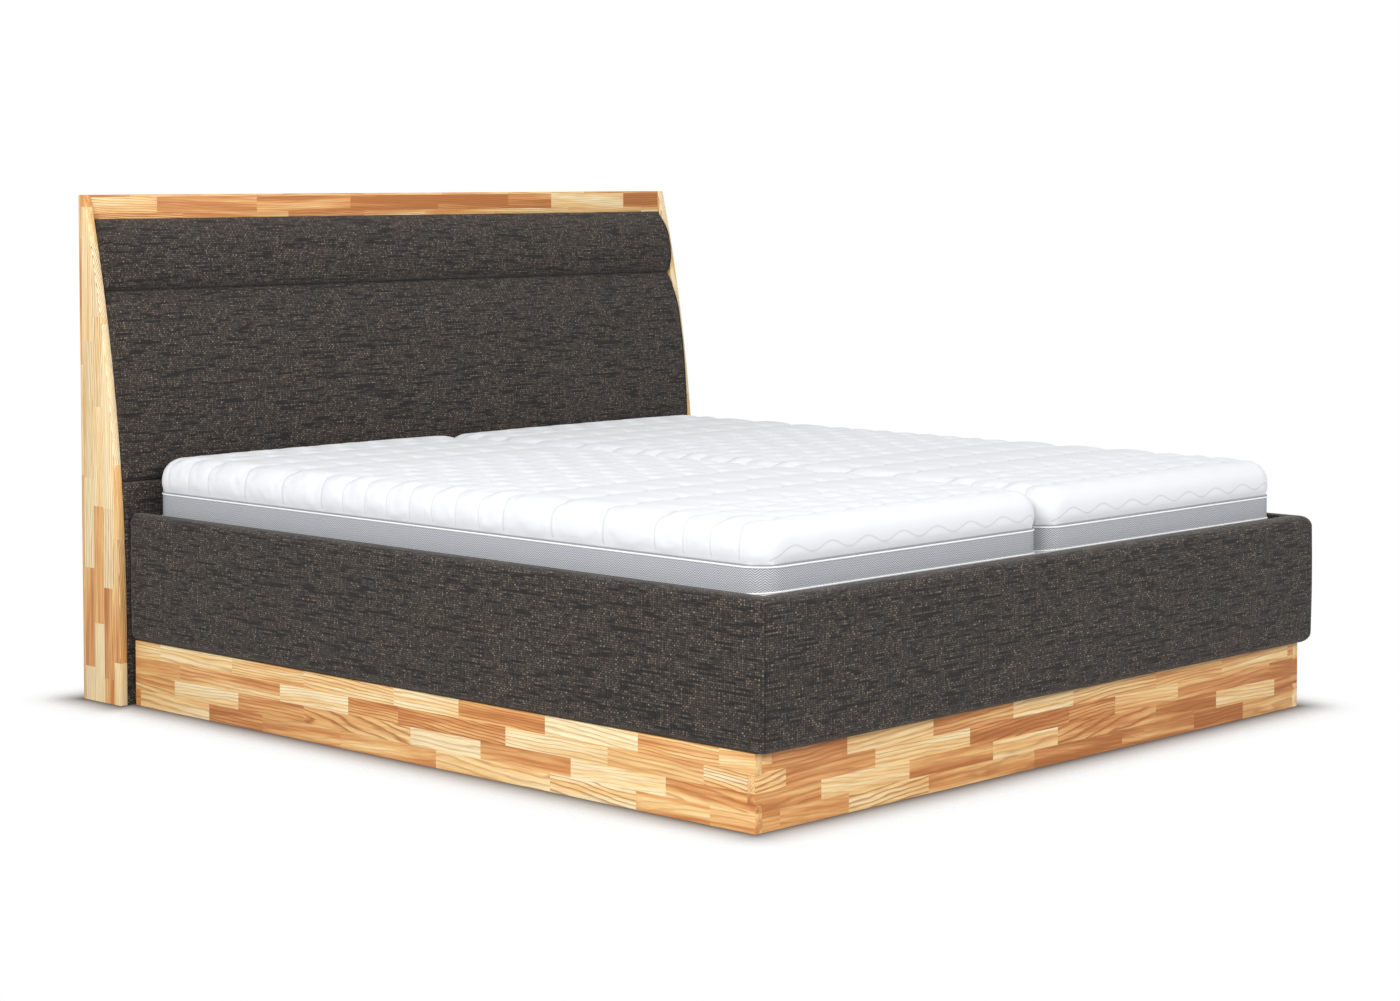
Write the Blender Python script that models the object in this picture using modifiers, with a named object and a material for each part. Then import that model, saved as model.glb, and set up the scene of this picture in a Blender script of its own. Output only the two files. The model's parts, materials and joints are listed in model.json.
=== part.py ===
"""Upholstered storage bed with two slatted frames that lift at the foot end.

Metres, +Z up. The foot end faces -Y and the headboard stands at +Y. The origin lies on the
floor under the middle of the bed. Every physical piece is one object. The sizes are named
here; outlines are written as shares of them, and fitted pieces keep named clearances.
"""

import math

import bmesh
import bpy
from mathutils import Vector

# Whole bed
BED_WIDTH = 1.984
BED_LENGTH = 2.215
BED_HEIGHT = 1.2212
FIT_GAP = 0.0003
CUT_OVERRUN = 0.002
ROUND_SIDES = 24
SMOOTH_ANGLE = math.radians(40.0)

# Headboard boards
CHEEK_THICK = 0.020
CHEEK_FOOT_DEPTH = 0.153
CHEEK_TOP_DEPTH = 0.0225
CHEEK_STRAIGHT_HEIGHT = 0.200
CHEEK_CURVE_STEPS = 14
TOP_BOARD_HEIGHT = 0.0632
BACK_PANEL_THICK = 0.012
BACK_PANEL_FLOOR_GAP = 0.020
BACKING_THICK = 0.012
BACKING_FOOT_DEPTH = 0.100
BACKING_TOP_DEPTH = 0.0252

# Headboard upholstery
BASE_PANEL_HEIGHT = 0.535
BASE_PANEL_SETBACK = 0.0014
BASE_PANEL_EDGE = 0.010
BOLSTER_HEIGHT = 0.1665
CUSHION_PROUD = 0.024
SEAM_DEPTH = 0.008
CUSHION_END_ROUND = 0.028
# Height along the pad, from its lower seam, and how far its face swells out of the seam line
BOLSTER_SWELL_SHARES = (
    (0.0, 0.0), (0.04, 0.34), (0.12, 0.60), (0.24, 0.85), (0.38, 0.98), (0.54, 1.0),
    (0.68, 0.97), (0.80, 0.80), (0.90, 0.52), (0.96, 0.28), (1.0, 0.0),
)
CUSHION_SWELL_SHARES = (
    (0.0, 0.28), (0.012, 0.48), (0.04, 0.62), (0.12, 0.74), (0.26, 0.86), (0.42, 0.96),
    (0.56, 1.0), (0.70, 0.99), (0.79, 0.95), (0.86, 0.76), (0.915, 0.54), (0.955, 0.32),
    (0.985, 0.12), (1.0, 0.0),
)
# Distance from the pad's end, and how full its section is there
PAD_END_SHARES = ((0.0, 0.30), (0.12, 0.56), (0.38, 0.82), (0.70, 0.96), (1.0, 1.0))

# Plinth
PLINTH_HEIGHT = 0.1562
PLINTH_THICK = 0.020
PLINTH_SIDE_INSET = 0.0356
PLINTH_FOOT_INSET = 0.0333
PLINTH_HEAD_DEPTH = 0.1643
FINGER_LOW = 0.057
FINGER_HIGH = 0.1134

# Rails
RAIL_SIDE_INSET = 0.0266
RAIL_HEIGHT = 0.3032
RAIL_THICK = 0.0474
RAIL_BULGE = 0.0012
RAIL_EDGE_ROUND = 0.022
RAIL_INNER_ROUND = 0.006
RAIL_END_ROUND = 0.016
RAIL_LIP = 0.010
RAIL_LIP_SETBACK = 0.001
RAIL_CORE_THICK = 0.026
ROUND_STEPS = 4
CROSS_BOARD_TOP = 0.300
CROSS_BOARD_THICK = 0.020

# Storage floor and dividers
FLOOR_THICK = 0.010
CLEAT_SIZE = 0.020
CENTRE_BOARD_THICK = 0.020
CENTRE_BOARD_LOW_TOP = 0.225
CENTRE_BOARD_STEP_REACH = 0.340
CENTRE_BOARD_STEP_RUN = 0.060
CENTRE_BEAM_WIDTH = 0.060
LEDGE_WIDTH = 0.025
FOOT_LEDGE_WIDTH = 0.040
LEDGE_HEIGHT = 0.020
LEDGE_END_REACH = 0.560

# Slatted frames
FRAME_BOTTOM = 0.335
FRAME_RAIL_HEIGHT = 0.050
FRAME_RAIL_WIDTH = 0.025
FRAME_CROSS_WIDTH = 0.045
FRAME_FIELDS = 3
FRAME_FOOT_CLEARANCE = 0.024
FRAME_HEAD_CLEARANCE = 0.0147
SLAT_COUNT = 14
SLAT_WIDTH = 0.053
SLAT_THICK = 0.009
HOLDER_WIDTH = 0.028
STOP_THICK = 0.003
STOP_WIDTH = 0.300
STOP_RISE = 0.060
STOP_DROP = 0.040

# Mattresses
MATTRESS_SPLIT_GAP = 0.004
MATTRESS_SIDE_GAP = 0.0125
MATTRESS_FOOT_GAP = 0.0124
MATTRESS_HEAD_GAP = 0.0147
MATTRESS_SIDE_HEIGHT = 0.197
MATTRESS_CROWN = 0.007
MATTRESS_CORNER = 0.045
MATTRESS_ROLL = 0.030
WAVE_COLUMNS = 15
WAVE_LINES = 24
WAVE_SWING = 0.011
QUILT_DEPTH = 0.006
SEWN_LINE_SHARE = 0.6
# Rounding of the upper edge: share of the roll outwards, then share of the roll downwards
ROLL_SHARES = ((0.7, 0.3), (0.3, 1.0))

# Lift fittings: distances from the wall that carries them, then places in the side view
PLATE_THICK = 0.003
LINK_THICK = 0.004
ARM_THICK = 0.003
RUNNING_GAP = 0.0006
STRUT_OFFSET = 0.028
PIN_RADIUS = 0.005
PIN_PLAY = 0.0003
LINK_END_RADIUS = 0.015
LINK_HEAD_SETBACK = 0.0959
LINK_BASE_Z = 0.140
LINK_LENGTH = 0.172
LINK_TURN = math.radians(60.0)
TILT_PER_TURN = 0.6
GUIDE_REACH = 0.160
GUIDE_DROP = 0.012
GUIDE_PIN_RADIUS = 0.006
GUIDE_STEPS = 14
ARM_FRONT_REACH = 0.475
ARM_BACK_REACH = 0.022
ARM_DROP = 0.050
ARM_RISE = 0.040
CORNER_ROUND = 0.010
# Base plate outline from the link pivot, in link lengths: towards the foot, then up
PLATE_SHARES = (
    (-0.163, -0.552), (1.424, -0.552), (1.424, -0.349), (1.773, 0.814), (1.773, 1.105),
    (1.308, 1.198), (0.872, 1.035), (-0.163, 0.163),
)

# Gas springs
STRUT_BASE_REACH = 0.220
STRUT_BASE_DROP = 0.075
STRUT_TOP_REACH = 0.450
STRUT_TOP_DROP = 0.012
CYLINDER_RADIUS = 0.011
CYLINDER_WALL = 0.002
CYLINDER_BOTTOM = 0.006
CYLINDER_START = 0.018
CYLINDER_LENGTH = 0.255
GUIDE_RING_WALL = 0.0035
GUIDE_RING_LENGTH = 0.008
ROD_RADIUS = 0.004
ROD_LENGTH = 0.272
PISTON_RADIUS = 0.0062
PISTON_LENGTH = 0.010
EYE_RADIUS = 0.010
EYE_WIDTH = 0.010
NECK_RADIUS = 0.0044
STRUT_PIN_RADIUS = 0.004

# Places worked out from the sizes
HALF_WIDTH = BED_WIDTH / 2
BACK_Y = BED_LENGTH / 2
FOOT_Y = -BED_LENGTH / 2
CHEEK_INNER_X = HALF_WIDTH - CHEEK_THICK
CHEEK_FRONT_Y = BACK_Y - CHEEK_FOOT_DEPTH
PANEL_FRONT_Y = CHEEK_FRONT_Y + BASE_PANEL_SETBACK
TOP_BOARD_Z = BED_HEIGHT - TOP_BOARD_HEIGHT
BOLSTER_TOP = TOP_BOARD_Z - FIT_GAP
BOLSTER_BOTTOM = BOLSTER_TOP - BOLSTER_HEIGHT
CUSHION_BOTTOM = BASE_PANEL_HEIGHT + FIT_GAP
RAIL_OUTER_X = HALF_WIDTH - RAIL_SIDE_INSET
RAIL_INNER_X = RAIL_OUTER_X - RAIL_THICK
RAIL_FOOT_Y = FOOT_Y + RAIL_BULGE
RAIL_FOOT_INNER_Y = RAIL_FOOT_Y + RAIL_THICK
RAIL_HEAD_Y = PANEL_FRONT_Y - FIT_GAP
RAIL_BOTTOM = PLINTH_HEIGHT + FIT_GAP
PLINTH_OUTER_X = HALF_WIDTH - PLINTH_SIDE_INSET
PLINTH_INNER_X = PLINTH_OUTER_X - PLINTH_THICK
PLINTH_FOOT_Y = FOOT_Y + PLINTH_FOOT_INSET
PLINTH_HEAD_Y = BACK_Y - PLINTH_HEAD_DEPTH
FLOOR_TOP = CLEAT_SIZE + FIT_GAP + FLOOR_THICK
LEDGE_TOP = FRAME_BOTTOM - FIT_GAP
LINK_BASE_Y = PANEL_FRONT_Y - LINK_HEAD_SETBACK
CENTRE_BOARD_STEP_Y = LINK_BASE_Y - CENTRE_BOARD_STEP_REACH
LEDGE_END_Y = LINK_BASE_Y - LEDGE_END_REACH
CENTRE_BOARD_X = CENTRE_BOARD_THICK / 2
PLATE_DEPTH = FIT_GAP
LINK_DEPTH = PLATE_DEPTH + PLATE_THICK + RUNNING_GAP
ARM_DEPTH = LINK_DEPTH + LINK_THICK + RUNNING_GAP
FRAME_DEPTH = ARM_DEPTH + ARM_THICK + FIT_GAP
FRAME_INNER_X = CENTRE_BOARD_X + FRAME_DEPTH
FRAME_OUTER_X = RAIL_INNER_X - FRAME_DEPTH
FRAME_FOOT_Y = RAIL_FOOT_INNER_Y + FRAME_FOOT_CLEARANCE
FRAME_HEAD_Y = PANEL_FRONT_Y - FRAME_HEAD_CLEARANCE
SLAT_BOTTOM = FRAME_BOTTOM + FRAME_RAIL_HEIGHT + FIT_GAP
MATTRESS_BOTTOM = SLAT_BOTTOM + SLAT_THICK + FIT_GAP
MATTRESS_WIDTH = RAIL_INNER_X - MATTRESS_SIDE_GAP - MATTRESS_SPLIT_GAP / 2
MATTRESS_FOOT_Y = RAIL_FOOT_INNER_Y + MATTRESS_FOOT_GAP
MATTRESS_HEAD_Y = PANEL_FRONT_Y - MATTRESS_HEAD_GAP
MATTRESS_EDGE_Z = MATTRESS_BOTTOM + MATTRESS_SIDE_HEIGHT
LINK_TOP_Z = LINK_BASE_Z + LINK_LENGTH
LIFT_AXIS = (0.0, LINK_BASE_Y, LINK_TOP_Z)
STRUT_BASE = (LINK_BASE_Y - STRUT_BASE_REACH, LINK_BASE_Z - STRUT_BASE_DROP)
STRUT_TOP = (LINK_BASE_Y - STRUT_TOP_REACH, LINK_TOP_Z - STRUT_TOP_DROP)
GUIDE_START = (LINK_BASE_Y - GUIDE_REACH, LINK_TOP_Z - GUIDE_DROP)

SIDES = (("left", -1), ("right", 1))


def clear_scene():
    for item in list(bpy.data.objects):
        bpy.data.objects.remove(item, do_unlink=True)


def new_collection(name):
    group = bpy.data.collections.new(name)
    bpy.context.scene.collection.children.link(group)
    return group


def finish_of(name, colour, roughness, metallic=0.0):
    material = bpy.data.materials.new(name)
    material.use_nodes = True
    shader = material.node_tree.nodes["Principled BSDF"]
    shader.inputs["Base Color"].default_value = (*colour, 1.0)
    shader.inputs["Roughness"].default_value = roughness
    shader.inputs["Metallic"].default_value = metallic
    return material


def add_piece(name, mesh, material, group):
    """Link a mesh as a named piece with its own copy of a finish."""
    piece = bpy.data.objects.new(name, mesh)
    own = material.copy()
    own.name = name + "_finish"
    mesh.materials.clear()
    mesh.materials.append(own)
    group.objects.link(piece)
    return piece


def mesh_from(name, shape):
    """Turn a closed shape's faces outwards and store it."""
    bmesh.ops.recalc_face_normals(shape, faces=shape.faces)
    if shape.calc_volume(signed=True) < 0.0:
        bmesh.ops.reverse_faces(shape, faces=shape.faces)
    mesh = bpy.data.meshes.new(name)
    shape.to_mesh(mesh)
    shape.free()
    return mesh


def move_origin(piece, place):
    """Put a piece's origin on its joint axis and leave the piece where it is."""
    for vert in piece.data.vertices:
        vert.co -= Vector(place)
    piece.location = place


def smooth(piece):
    piece.data.shade_smooth()
    piece.data.set_sharp_from_angle(angle=SMOOTH_ANGLE)


def box_mesh(name, low, high):
    """A block between two opposite corners."""
    shape = bmesh.new()
    bmesh.ops.create_cube(shape, size=1.0)
    low = Vector(low)
    high = Vector(high)
    middle = (low + high) / 2
    size = high - low
    for vert in shape.verts:
        vert.co = Vector(c * s for c, s in zip(vert.co, size)) + middle
    return mesh_from(name, shape)


def rod_mesh(name, radius, start, end):
    """A round bar along X between two points that share Y and Z."""
    shape = bmesh.new()
    length = end[0] - start[0]
    bmesh.ops.create_cone(
        shape, cap_ends=True, segments=ROUND_SIDES, radius1=radius, radius2=radius, depth=abs(length)
    )
    for vert in shape.verts:
        y, z = turned(vert.co.xy, math.pi / ROUND_SIDES)
        vert.co = Vector((start[0] + length / 2 + vert.co.z, start[1] + y, start[2] + z))
    return mesh_from(name, shape)


def circle_points(centre, radius):
    """Points of a round hole in the side view."""
    angles = [2 * math.pi * k / ROUND_SIDES for k in range(ROUND_SIDES)]
    return [(centre[0] + radius * math.cos(a), centre[1] + radius * math.sin(a)) for a in angles]


def rounded_points(corners, radius):
    """A polygon with each corner replaced by an arc of up to the given radius."""
    points = []
    count = len(corners)
    for index, corner in enumerate(corners):
        here = Vector(corner)
        before = Vector(corners[index - 1]) - here
        after = Vector(corners[(index + 1) % count]) - here
        half_angle = before.angle(after) / 2
        reach = min(radius / math.tan(half_angle), before.length / 2, after.length / 2)
        arc_radius = reach * math.tan(half_angle)
        bisector = (before.normalized() + after.normalized()).normalized()
        centre = here + bisector * (arc_radius / math.sin(half_angle))
        first = here + before.normalized() * reach - centre
        last = here + after.normalized() * reach - centre
        sweep = -first.angle_signed(last)
        for step in range(ROUND_STEPS + 1):
            points.append(tuple(centre + Vector(turned(first, sweep * step / ROUND_STEPS))))
    return points


def outline_mesh(name, loops, thickness, place):
    """A flat plate from closed outlines, the later ones being holes, with its points put by place."""
    curve = bpy.data.curves.new(name, "CURVE")
    curve.dimensions = "2D"
    curve.fill_mode = "BOTH"
    curve.extrude = thickness / 2
    for loop in loops:
        spline = curve.splines.new("POLY")
        spline.points.add(len(loop) - 1)
        spline.use_cyclic_u = True
        for point, (u, v) in zip(spline.points, loop):
            point.co = (u, v, 0.0, 1.0)
    holder = bpy.data.objects.new(name + "_outline", curve)
    bpy.context.scene.collection.objects.link(holder)
    bpy.context.view_layer.update()
    seen = holder.evaluated_get(bpy.context.evaluated_depsgraph_get())
    flat = bpy.data.meshes.new_from_object(seen)
    bpy.data.objects.remove(holder, do_unlink=True)
    shape = bmesh.new()
    shape.from_mesh(flat)
    bpy.data.meshes.remove(flat)
    bmesh.ops.remove_doubles(shape, verts=shape.verts, dist=FIT_GAP / 10)
    for vert in shape.verts:
        vert.co = place(vert.co)
    return mesh_from(name, shape)


def side_view(middle_x):
    """Put outline points (Y, Z) into the plane across X at middle_x."""
    return lambda co: Vector((middle_x + co.z, co.x, co.y))


def front_view(middle_y):
    """Put outline points (X, Z) into the plane across Y at middle_y."""
    return lambda co: Vector((co.x, middle_y + co.z, co.y))


def plan_view(middle_z):
    """Put outline points (X, Y) into the plane across Z at middle_z."""
    return lambda co: Vector((co.x, co.y, middle_z + co.z))


def rectangle(low, high):
    return [(low[0], low[1]), (high[0], low[1]), (high[0], high[1]), (low[0], high[1])]


def loft_mesh(name, rings):
    """Close a row of like rings of points into a solid with flat ends."""
    shape = bmesh.new()
    rows = [[shape.verts.new(point) for point in ring] for ring in rings]
    for row, following in zip(rows, rows[1:]):
        for index in range(len(row)):
            after = (index + 1) % len(row)
            shape.faces.new((row[index], row[after], following[after], following[index]))
    shape.faces.new(rows[0])
    shape.faces.new(rows[-1])
    shape.normal_update()
    ends = [face for face in shape.faces if len(face.verts) > 4]
    bmesh.ops.triangulate(shape, faces=ends)
    return mesh_from(name, shape)


def boolean(piece, other, operation, cutters):
    """Join or cut a piece with a hidden guide solid."""
    cutters.objects.link(other)
    other.hide_render = True
    other.display_type = "WIRE"
    step = piece.modifiers.new(operation.lower() + "_" + other.name, "BOOLEAN")
    step.operation = operation
    step.solver = "EXACT"
    step.object = other


def cheek_front(z):
    """Front edge of the cheeks: upright at the foot, then a long curve back to the top."""
    rise = max(0.0, z - CHEEK_STRAIGHT_HEIGHT) / (BED_HEIGHT - CHEEK_STRAIGHT_HEIGHT)
    return CHEEK_FRONT_Y + (CHEEK_FOOT_DEPTH - CHEEK_TOP_DEPTH) * rise ** 2


def backing_front(z):
    """Front face of the sloping board that carries the pads."""
    rise = (z - CUSHION_BOTTOM) / (BOLSTER_TOP - CUSHION_BOTTOM)
    depth = BACKING_FOOT_DEPTH + (BACKING_TOP_DEPTH - BACKING_FOOT_DEPTH) * rise
    return BACK_Y - depth


def make_cheeks(group, wood):
    heights = [
        CHEEK_STRAIGHT_HEIGHT + (BED_HEIGHT - CHEEK_STRAIGHT_HEIGHT) * k / CHEEK_CURVE_STEPS
        for k in range(CHEEK_CURVE_STEPS + 1)
    ]
    outline = [(BACK_Y, 0.0), (BACK_Y, BED_HEIGHT)]
    outline += [(cheek_front(z), z) for z in reversed(heights)]
    outline.append((CHEEK_FRONT_Y, 0.0))
    for side, sign in SIDES:
        name = "headboard_side_" + side
        middle_x = sign * (HALF_WIDTH - CHEEK_THICK / 2)
        add_piece(name, outline_mesh(name, [outline], CHEEK_THICK, side_view(middle_x)), wood, group)


def make_headboard_boards(group, wood, board):
    inside = CHEEK_INNER_X - FIT_GAP
    top_front = BACK_Y - CHEEK_TOP_DEPTH
    mesh = box_mesh("headboard_top_board", (-inside, top_front, TOP_BOARD_Z), (inside, BACK_Y, BED_HEIGHT))
    add_piece("headboard_top_board", mesh, wood, group)
    panel_front = BACK_Y - BACK_PANEL_THICK
    panel_top = TOP_BOARD_Z - FIT_GAP
    low = (-inside, panel_front, BACK_PANEL_FLOOR_GAP)
    mesh = box_mesh("headboard_back_panel", low, (inside, BACK_Y, panel_top))
    add_piece("headboard_back_panel", mesh, board, group)
    outline = [
        (backing_front(CUSHION_BOTTOM) + FIT_GAP, CUSHION_BOTTOM),
        (backing_front(CUSHION_BOTTOM) + FIT_GAP + BACKING_THICK, CUSHION_BOTTOM),
        (backing_front(BOLSTER_TOP) + FIT_GAP + BACKING_THICK, BOLSTER_TOP),
        (backing_front(BOLSTER_TOP) + FIT_GAP, BOLSTER_TOP),
    ]
    mesh = outline_mesh("headboard_backing_board", [outline], 2 * inside, side_view(0.0))
    add_piece("headboard_backing_board", mesh, board, group)


def make_base_panel(group, fabric):
    inside = CHEEK_INNER_X - FIT_GAP
    back = BACK_Y - BACK_PANEL_THICK - FIT_GAP
    mesh = box_mesh("headboard_base_panel", (-inside, PANEL_FRONT_Y, 0.0), (inside, back, BASE_PANEL_HEIGHT))
    shape = bmesh.new()
    shape.from_mesh(mesh)
    front = [e for e in shape.edges if all(v.co.y < BACK_Y - CHEEK_FOOT_DEPTH / 2 for v in e.verts)]
    upper = [e for e in front if any(v.co.z > BASE_PANEL_HEIGHT / 2 for v in e.verts)]
    bmesh.ops.bevel(
        shape, geom=upper, offset=BASE_PANEL_EDGE, segments=ROUND_STEPS, profile=0.5, affect="EDGES"
    )
    shape.to_mesh(mesh)
    shape.free()
    smooth(add_piece("headboard_base_panel", mesh, fabric, group))


def pad_ring(x, bottom, top, swell_shares, fullness):
    """Section of a headboard pad at x: the swelling face, then straight down its back."""
    ring = []
    for height_share, swell_share in swell_shares:
        z = bottom + (top - bottom) * height_share
        proud = (CUSHION_PROUD + SEAM_DEPTH) * swell_share * fullness - SEAM_DEPTH
        ring.append(Vector((x, cheek_front(z) - proud, z)))
    ring.append(Vector((x, backing_front(top), top)))
    ring.append(Vector((x, backing_front(bottom), bottom)))
    return ring


def make_pads(group, fabric):
    """Bolster and cushion: full in the middle and drawn in at their ends."""
    half = CHEEK_INNER_X - FIT_GAP
    ends = [(half - CUSHION_END_ROUND * distance, fullness) for distance, fullness in PAD_END_SHARES]
    stations = [(-x, fullness) for x, fullness in ends] + [(x, fullness) for x, fullness in reversed(ends)]
    pads = (
        ("headboard_bolster", BOLSTER_BOTTOM + FIT_GAP, BOLSTER_TOP, BOLSTER_SWELL_SHARES),
        ("headboard_cushion", CUSHION_BOTTOM, BOLSTER_BOTTOM, CUSHION_SWELL_SHARES),
    )
    for name, bottom, top, shares in pads:
        rings = [pad_ring(x, bottom, top, shares, fullness) for x, fullness in stations]
        smooth(add_piece(name, loft_mesh(name, rings), fabric, group))


def cover_section():
    """Padded cover of a rail: distance out from the rail's inner face, then height."""
    pocket = RAIL_CORE_THICK + FIT_GAP
    points = [(RAIL_INNER_ROUND, 0.0)]
    for step in range(ROUND_STEPS + 1):
        angle = math.pi / 2 * step / ROUND_STEPS
        out = RAIL_THICK - RAIL_EDGE_ROUND * (1 - math.sin(angle))
        points.append((out, RAIL_EDGE_ROUND * (1 - math.cos(angle))))
    points.append((RAIL_THICK + RAIL_BULGE, RAIL_HEIGHT / 2))
    for step in range(ROUND_STEPS + 1):
        angle = math.pi / 2 * step / ROUND_STEPS
        out = RAIL_THICK - RAIL_EDGE_ROUND * (1 - math.cos(angle))
        points.append((out, RAIL_HEIGHT - RAIL_EDGE_ROUND * (1 - math.sin(angle))))
    points.append((RAIL_INNER_ROUND, RAIL_HEIGHT))
    points.append((0.0, RAIL_HEIGHT - RAIL_INNER_ROUND))
    points.append((RAIL_LIP_SETBACK, RAIL_HEIGHT - RAIL_LIP))
    points.append((pocket, RAIL_HEIGHT - RAIL_LIP))
    points.append((pocket, RAIL_LIP))
    points.append((RAIL_LIP_SETBACK, RAIL_LIP))
    points.append((0.0, RAIL_INNER_ROUND))
    return points


def core_section():
    low = RAIL_LIP + FIT_GAP
    high = RAIL_HEIGHT - RAIL_LIP - FIT_GAP
    return [(0.0, low), (RAIL_CORE_THICK, low), (RAIL_CORE_THICK, high), (0.0, high)]


def side_rail_rings(section, sign):
    """Rings of a side rail, mitred at the foot and, where it has padding, rounded at the head."""
    rings = [[
        Vector((sign * (RAIL_INNER_X + out), RAIL_FOOT_INNER_Y - out + FIT_GAP, RAIL_BOTTOM + up))
        for out, up in section
    ]]
    for step in range(ROUND_STEPS + 1):
        angle = math.pi / 2 * step / ROUND_STEPS
        y = RAIL_HEAD_Y - RAIL_END_ROUND * (1 - math.sin(angle))
        drawn_in = RAIL_END_ROUND * (1 - math.cos(angle))
        ring = []
        for out, up in section:
            padding = max(0.0, out - RAIL_CORE_THICK - FIT_GAP) / (RAIL_THICK - RAIL_CORE_THICK - FIT_GAP)
            x = sign * (RAIL_INNER_X + out - drawn_in * padding)
            ring.append(Vector((x, y, RAIL_BOTTOM + up)))
        rings.append(ring)
    return rings


def foot_rail_rings(section):
    return [
        [
            Vector((sign * (RAIL_INNER_X + out - FIT_GAP), RAIL_FOOT_INNER_Y - out, RAIL_BOTTOM + up))
            for out, up in section
        ]
        for side, sign in SIDES
    ]


def make_rails(group, fabric, board):
    for side, sign in SIDES:
        name = "side_rail_" + side + "_core"
        add_piece(name, loft_mesh(name, side_rail_rings(core_section(), sign)), board, group)
        name = "side_rail_" + side + "_cover"
        smooth(add_piece(name, loft_mesh(name, side_rail_rings(cover_section(), sign)), fabric, group))
    add_piece("foot_rail_core", loft_mesh("foot_rail_core", foot_rail_rings(core_section())), board, group)
    mesh = loft_mesh("foot_rail_cover", foot_rail_rings(cover_section()))
    smooth(add_piece("foot_rail_cover", mesh, fabric, group))
    front = PLINTH_HEAD_Y - CROSS_BOARD_THICK
    reach = RAIL_INNER_X - FIT_GAP
    low = (-reach, front, RAIL_BOTTOM)
    mesh = box_mesh("head_cross_board", low, (reach, PLINTH_HEAD_Y, CROSS_BOARD_TOP))
    add_piece("head_cross_board", mesh, board, group)


def make_plinth(group, wood):
    """Side boards with two fingers and a foot board with one, locked at the foot corners."""
    shoulder = PLINTH_FOOT_Y + PLINTH_THICK + FIT_GAP
    side_outline = [
        (PLINTH_FOOT_Y, 0.0), (PLINTH_HEAD_Y, 0.0), (PLINTH_HEAD_Y, PLINTH_HEIGHT),
        (PLINTH_FOOT_Y, PLINTH_HEIGHT), (PLINTH_FOOT_Y, FINGER_HIGH + FIT_GAP),
        (shoulder, FINGER_HIGH + FIT_GAP), (shoulder, FINGER_LOW - FIT_GAP),
        (PLINTH_FOOT_Y, FINGER_LOW - FIT_GAP),
    ]
    for side, sign in SIDES:
        name = "plinth_" + side
        middle_x = sign * (PLINTH_OUTER_X - PLINTH_THICK / 2)
        add_piece(name, outline_mesh(name, [side_outline], PLINTH_THICK, side_view(middle_x)), wood, group)
    inside = PLINTH_INNER_X - FIT_GAP
    foot_outline = [
        (-inside, 0.0), (inside, 0.0), (inside, FINGER_LOW), (PLINTH_OUTER_X, FINGER_LOW),
        (PLINTH_OUTER_X, FINGER_HIGH), (inside, FINGER_HIGH), (inside, PLINTH_HEIGHT),
        (-inside, PLINTH_HEIGHT), (-inside, FINGER_HIGH), (-PLINTH_OUTER_X, FINGER_HIGH),
        (-PLINTH_OUTER_X, FINGER_LOW), (-inside, FINGER_LOW),
    ]
    middle_y = PLINTH_FOOT_Y + PLINTH_THICK / 2
    mesh = outline_mesh("plinth_foot", [foot_outline], PLINTH_THICK, front_view(middle_y))
    add_piece("plinth_foot", mesh, wood, group)
    low = (-inside, PLINTH_HEAD_Y - PLINTH_THICK, 0.0)
    mesh = box_mesh("plinth_head", low, (inside, PLINTH_HEAD_Y, PLINTH_HEIGHT))
    add_piece("plinth_head", mesh, wood, group)


def make_storage(group, board, batten):
    """Bottom panels on cleats, the divider and the battens that the frames rest on."""
    foot = PLINTH_FOOT_Y + PLINTH_THICK + FIT_GAP
    head = PLINTH_HEAD_Y - PLINTH_THICK - FIT_GAP
    wall = PLINTH_INNER_X - FIT_GAP
    middle = CENTRE_BOARD_X + FIT_GAP
    for side, sign in SIDES:
        near = min(sign * wall, sign * middle)
        far = max(sign * wall, sign * middle)
        name = "storage_floor_" + side
        mesh = box_mesh(name, (near, foot, FLOOR_TOP - FLOOR_THICK), (far, head, FLOOR_TOP))
        add_piece(name, mesh, board, group)
        cleat = sorted((sign * wall, sign * (wall - CLEAT_SIZE)))
        name = "floor_cleat_" + side
        add_piece(name, box_mesh(name, (cleat[0], foot, 0.0), (cleat[1], head, CLEAT_SIZE)), batten, group)
    board_top = LEDGE_TOP - LEDGE_HEIGHT - FIT_GAP
    step_end = CENTRE_BOARD_STEP_Y + CENTRE_BOARD_STEP_RUN
    outline = [
        (foot, 0.0), (head, 0.0), (head, CENTRE_BOARD_LOW_TOP), (step_end, CENTRE_BOARD_LOW_TOP),
        (CENTRE_BOARD_STEP_Y, board_top), (foot, board_top),
    ]
    mesh = outline_mesh("centre_board", [outline], CENTRE_BOARD_THICK, side_view(0.0))
    add_piece("centre_board", mesh, board, group)
    ledge_foot = RAIL_FOOT_INNER_Y + FIT_GAP
    ledge_front = ledge_foot + FOOT_LEDGE_WIDTH
    ledge_low = LEDGE_TOP - LEDGE_HEIGHT
    reach = RAIL_INNER_X - FIT_GAP
    mesh = box_mesh("foot_ledge", (-reach, ledge_foot, ledge_low), (reach, ledge_front, LEDGE_TOP))
    add_piece("foot_ledge", mesh, batten, group)
    start = ledge_front + FIT_GAP
    half = CENTRE_BEAM_WIDTH / 2
    mesh = box_mesh("centre_beam", (-half, start, ledge_low), (half, LEDGE_END_Y, LEDGE_TOP))
    add_piece("centre_beam", mesh, batten, group)
    for side, sign in SIDES:
        span = sorted((sign * reach, sign * (reach - LEDGE_WIDTH)))
        name = "side_ledge_" + side
        mesh = box_mesh(name, (span[0], start, ledge_low), (span[1], LEDGE_END_Y, LEDGE_TOP))
        add_piece(name, mesh, batten, group)


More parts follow.
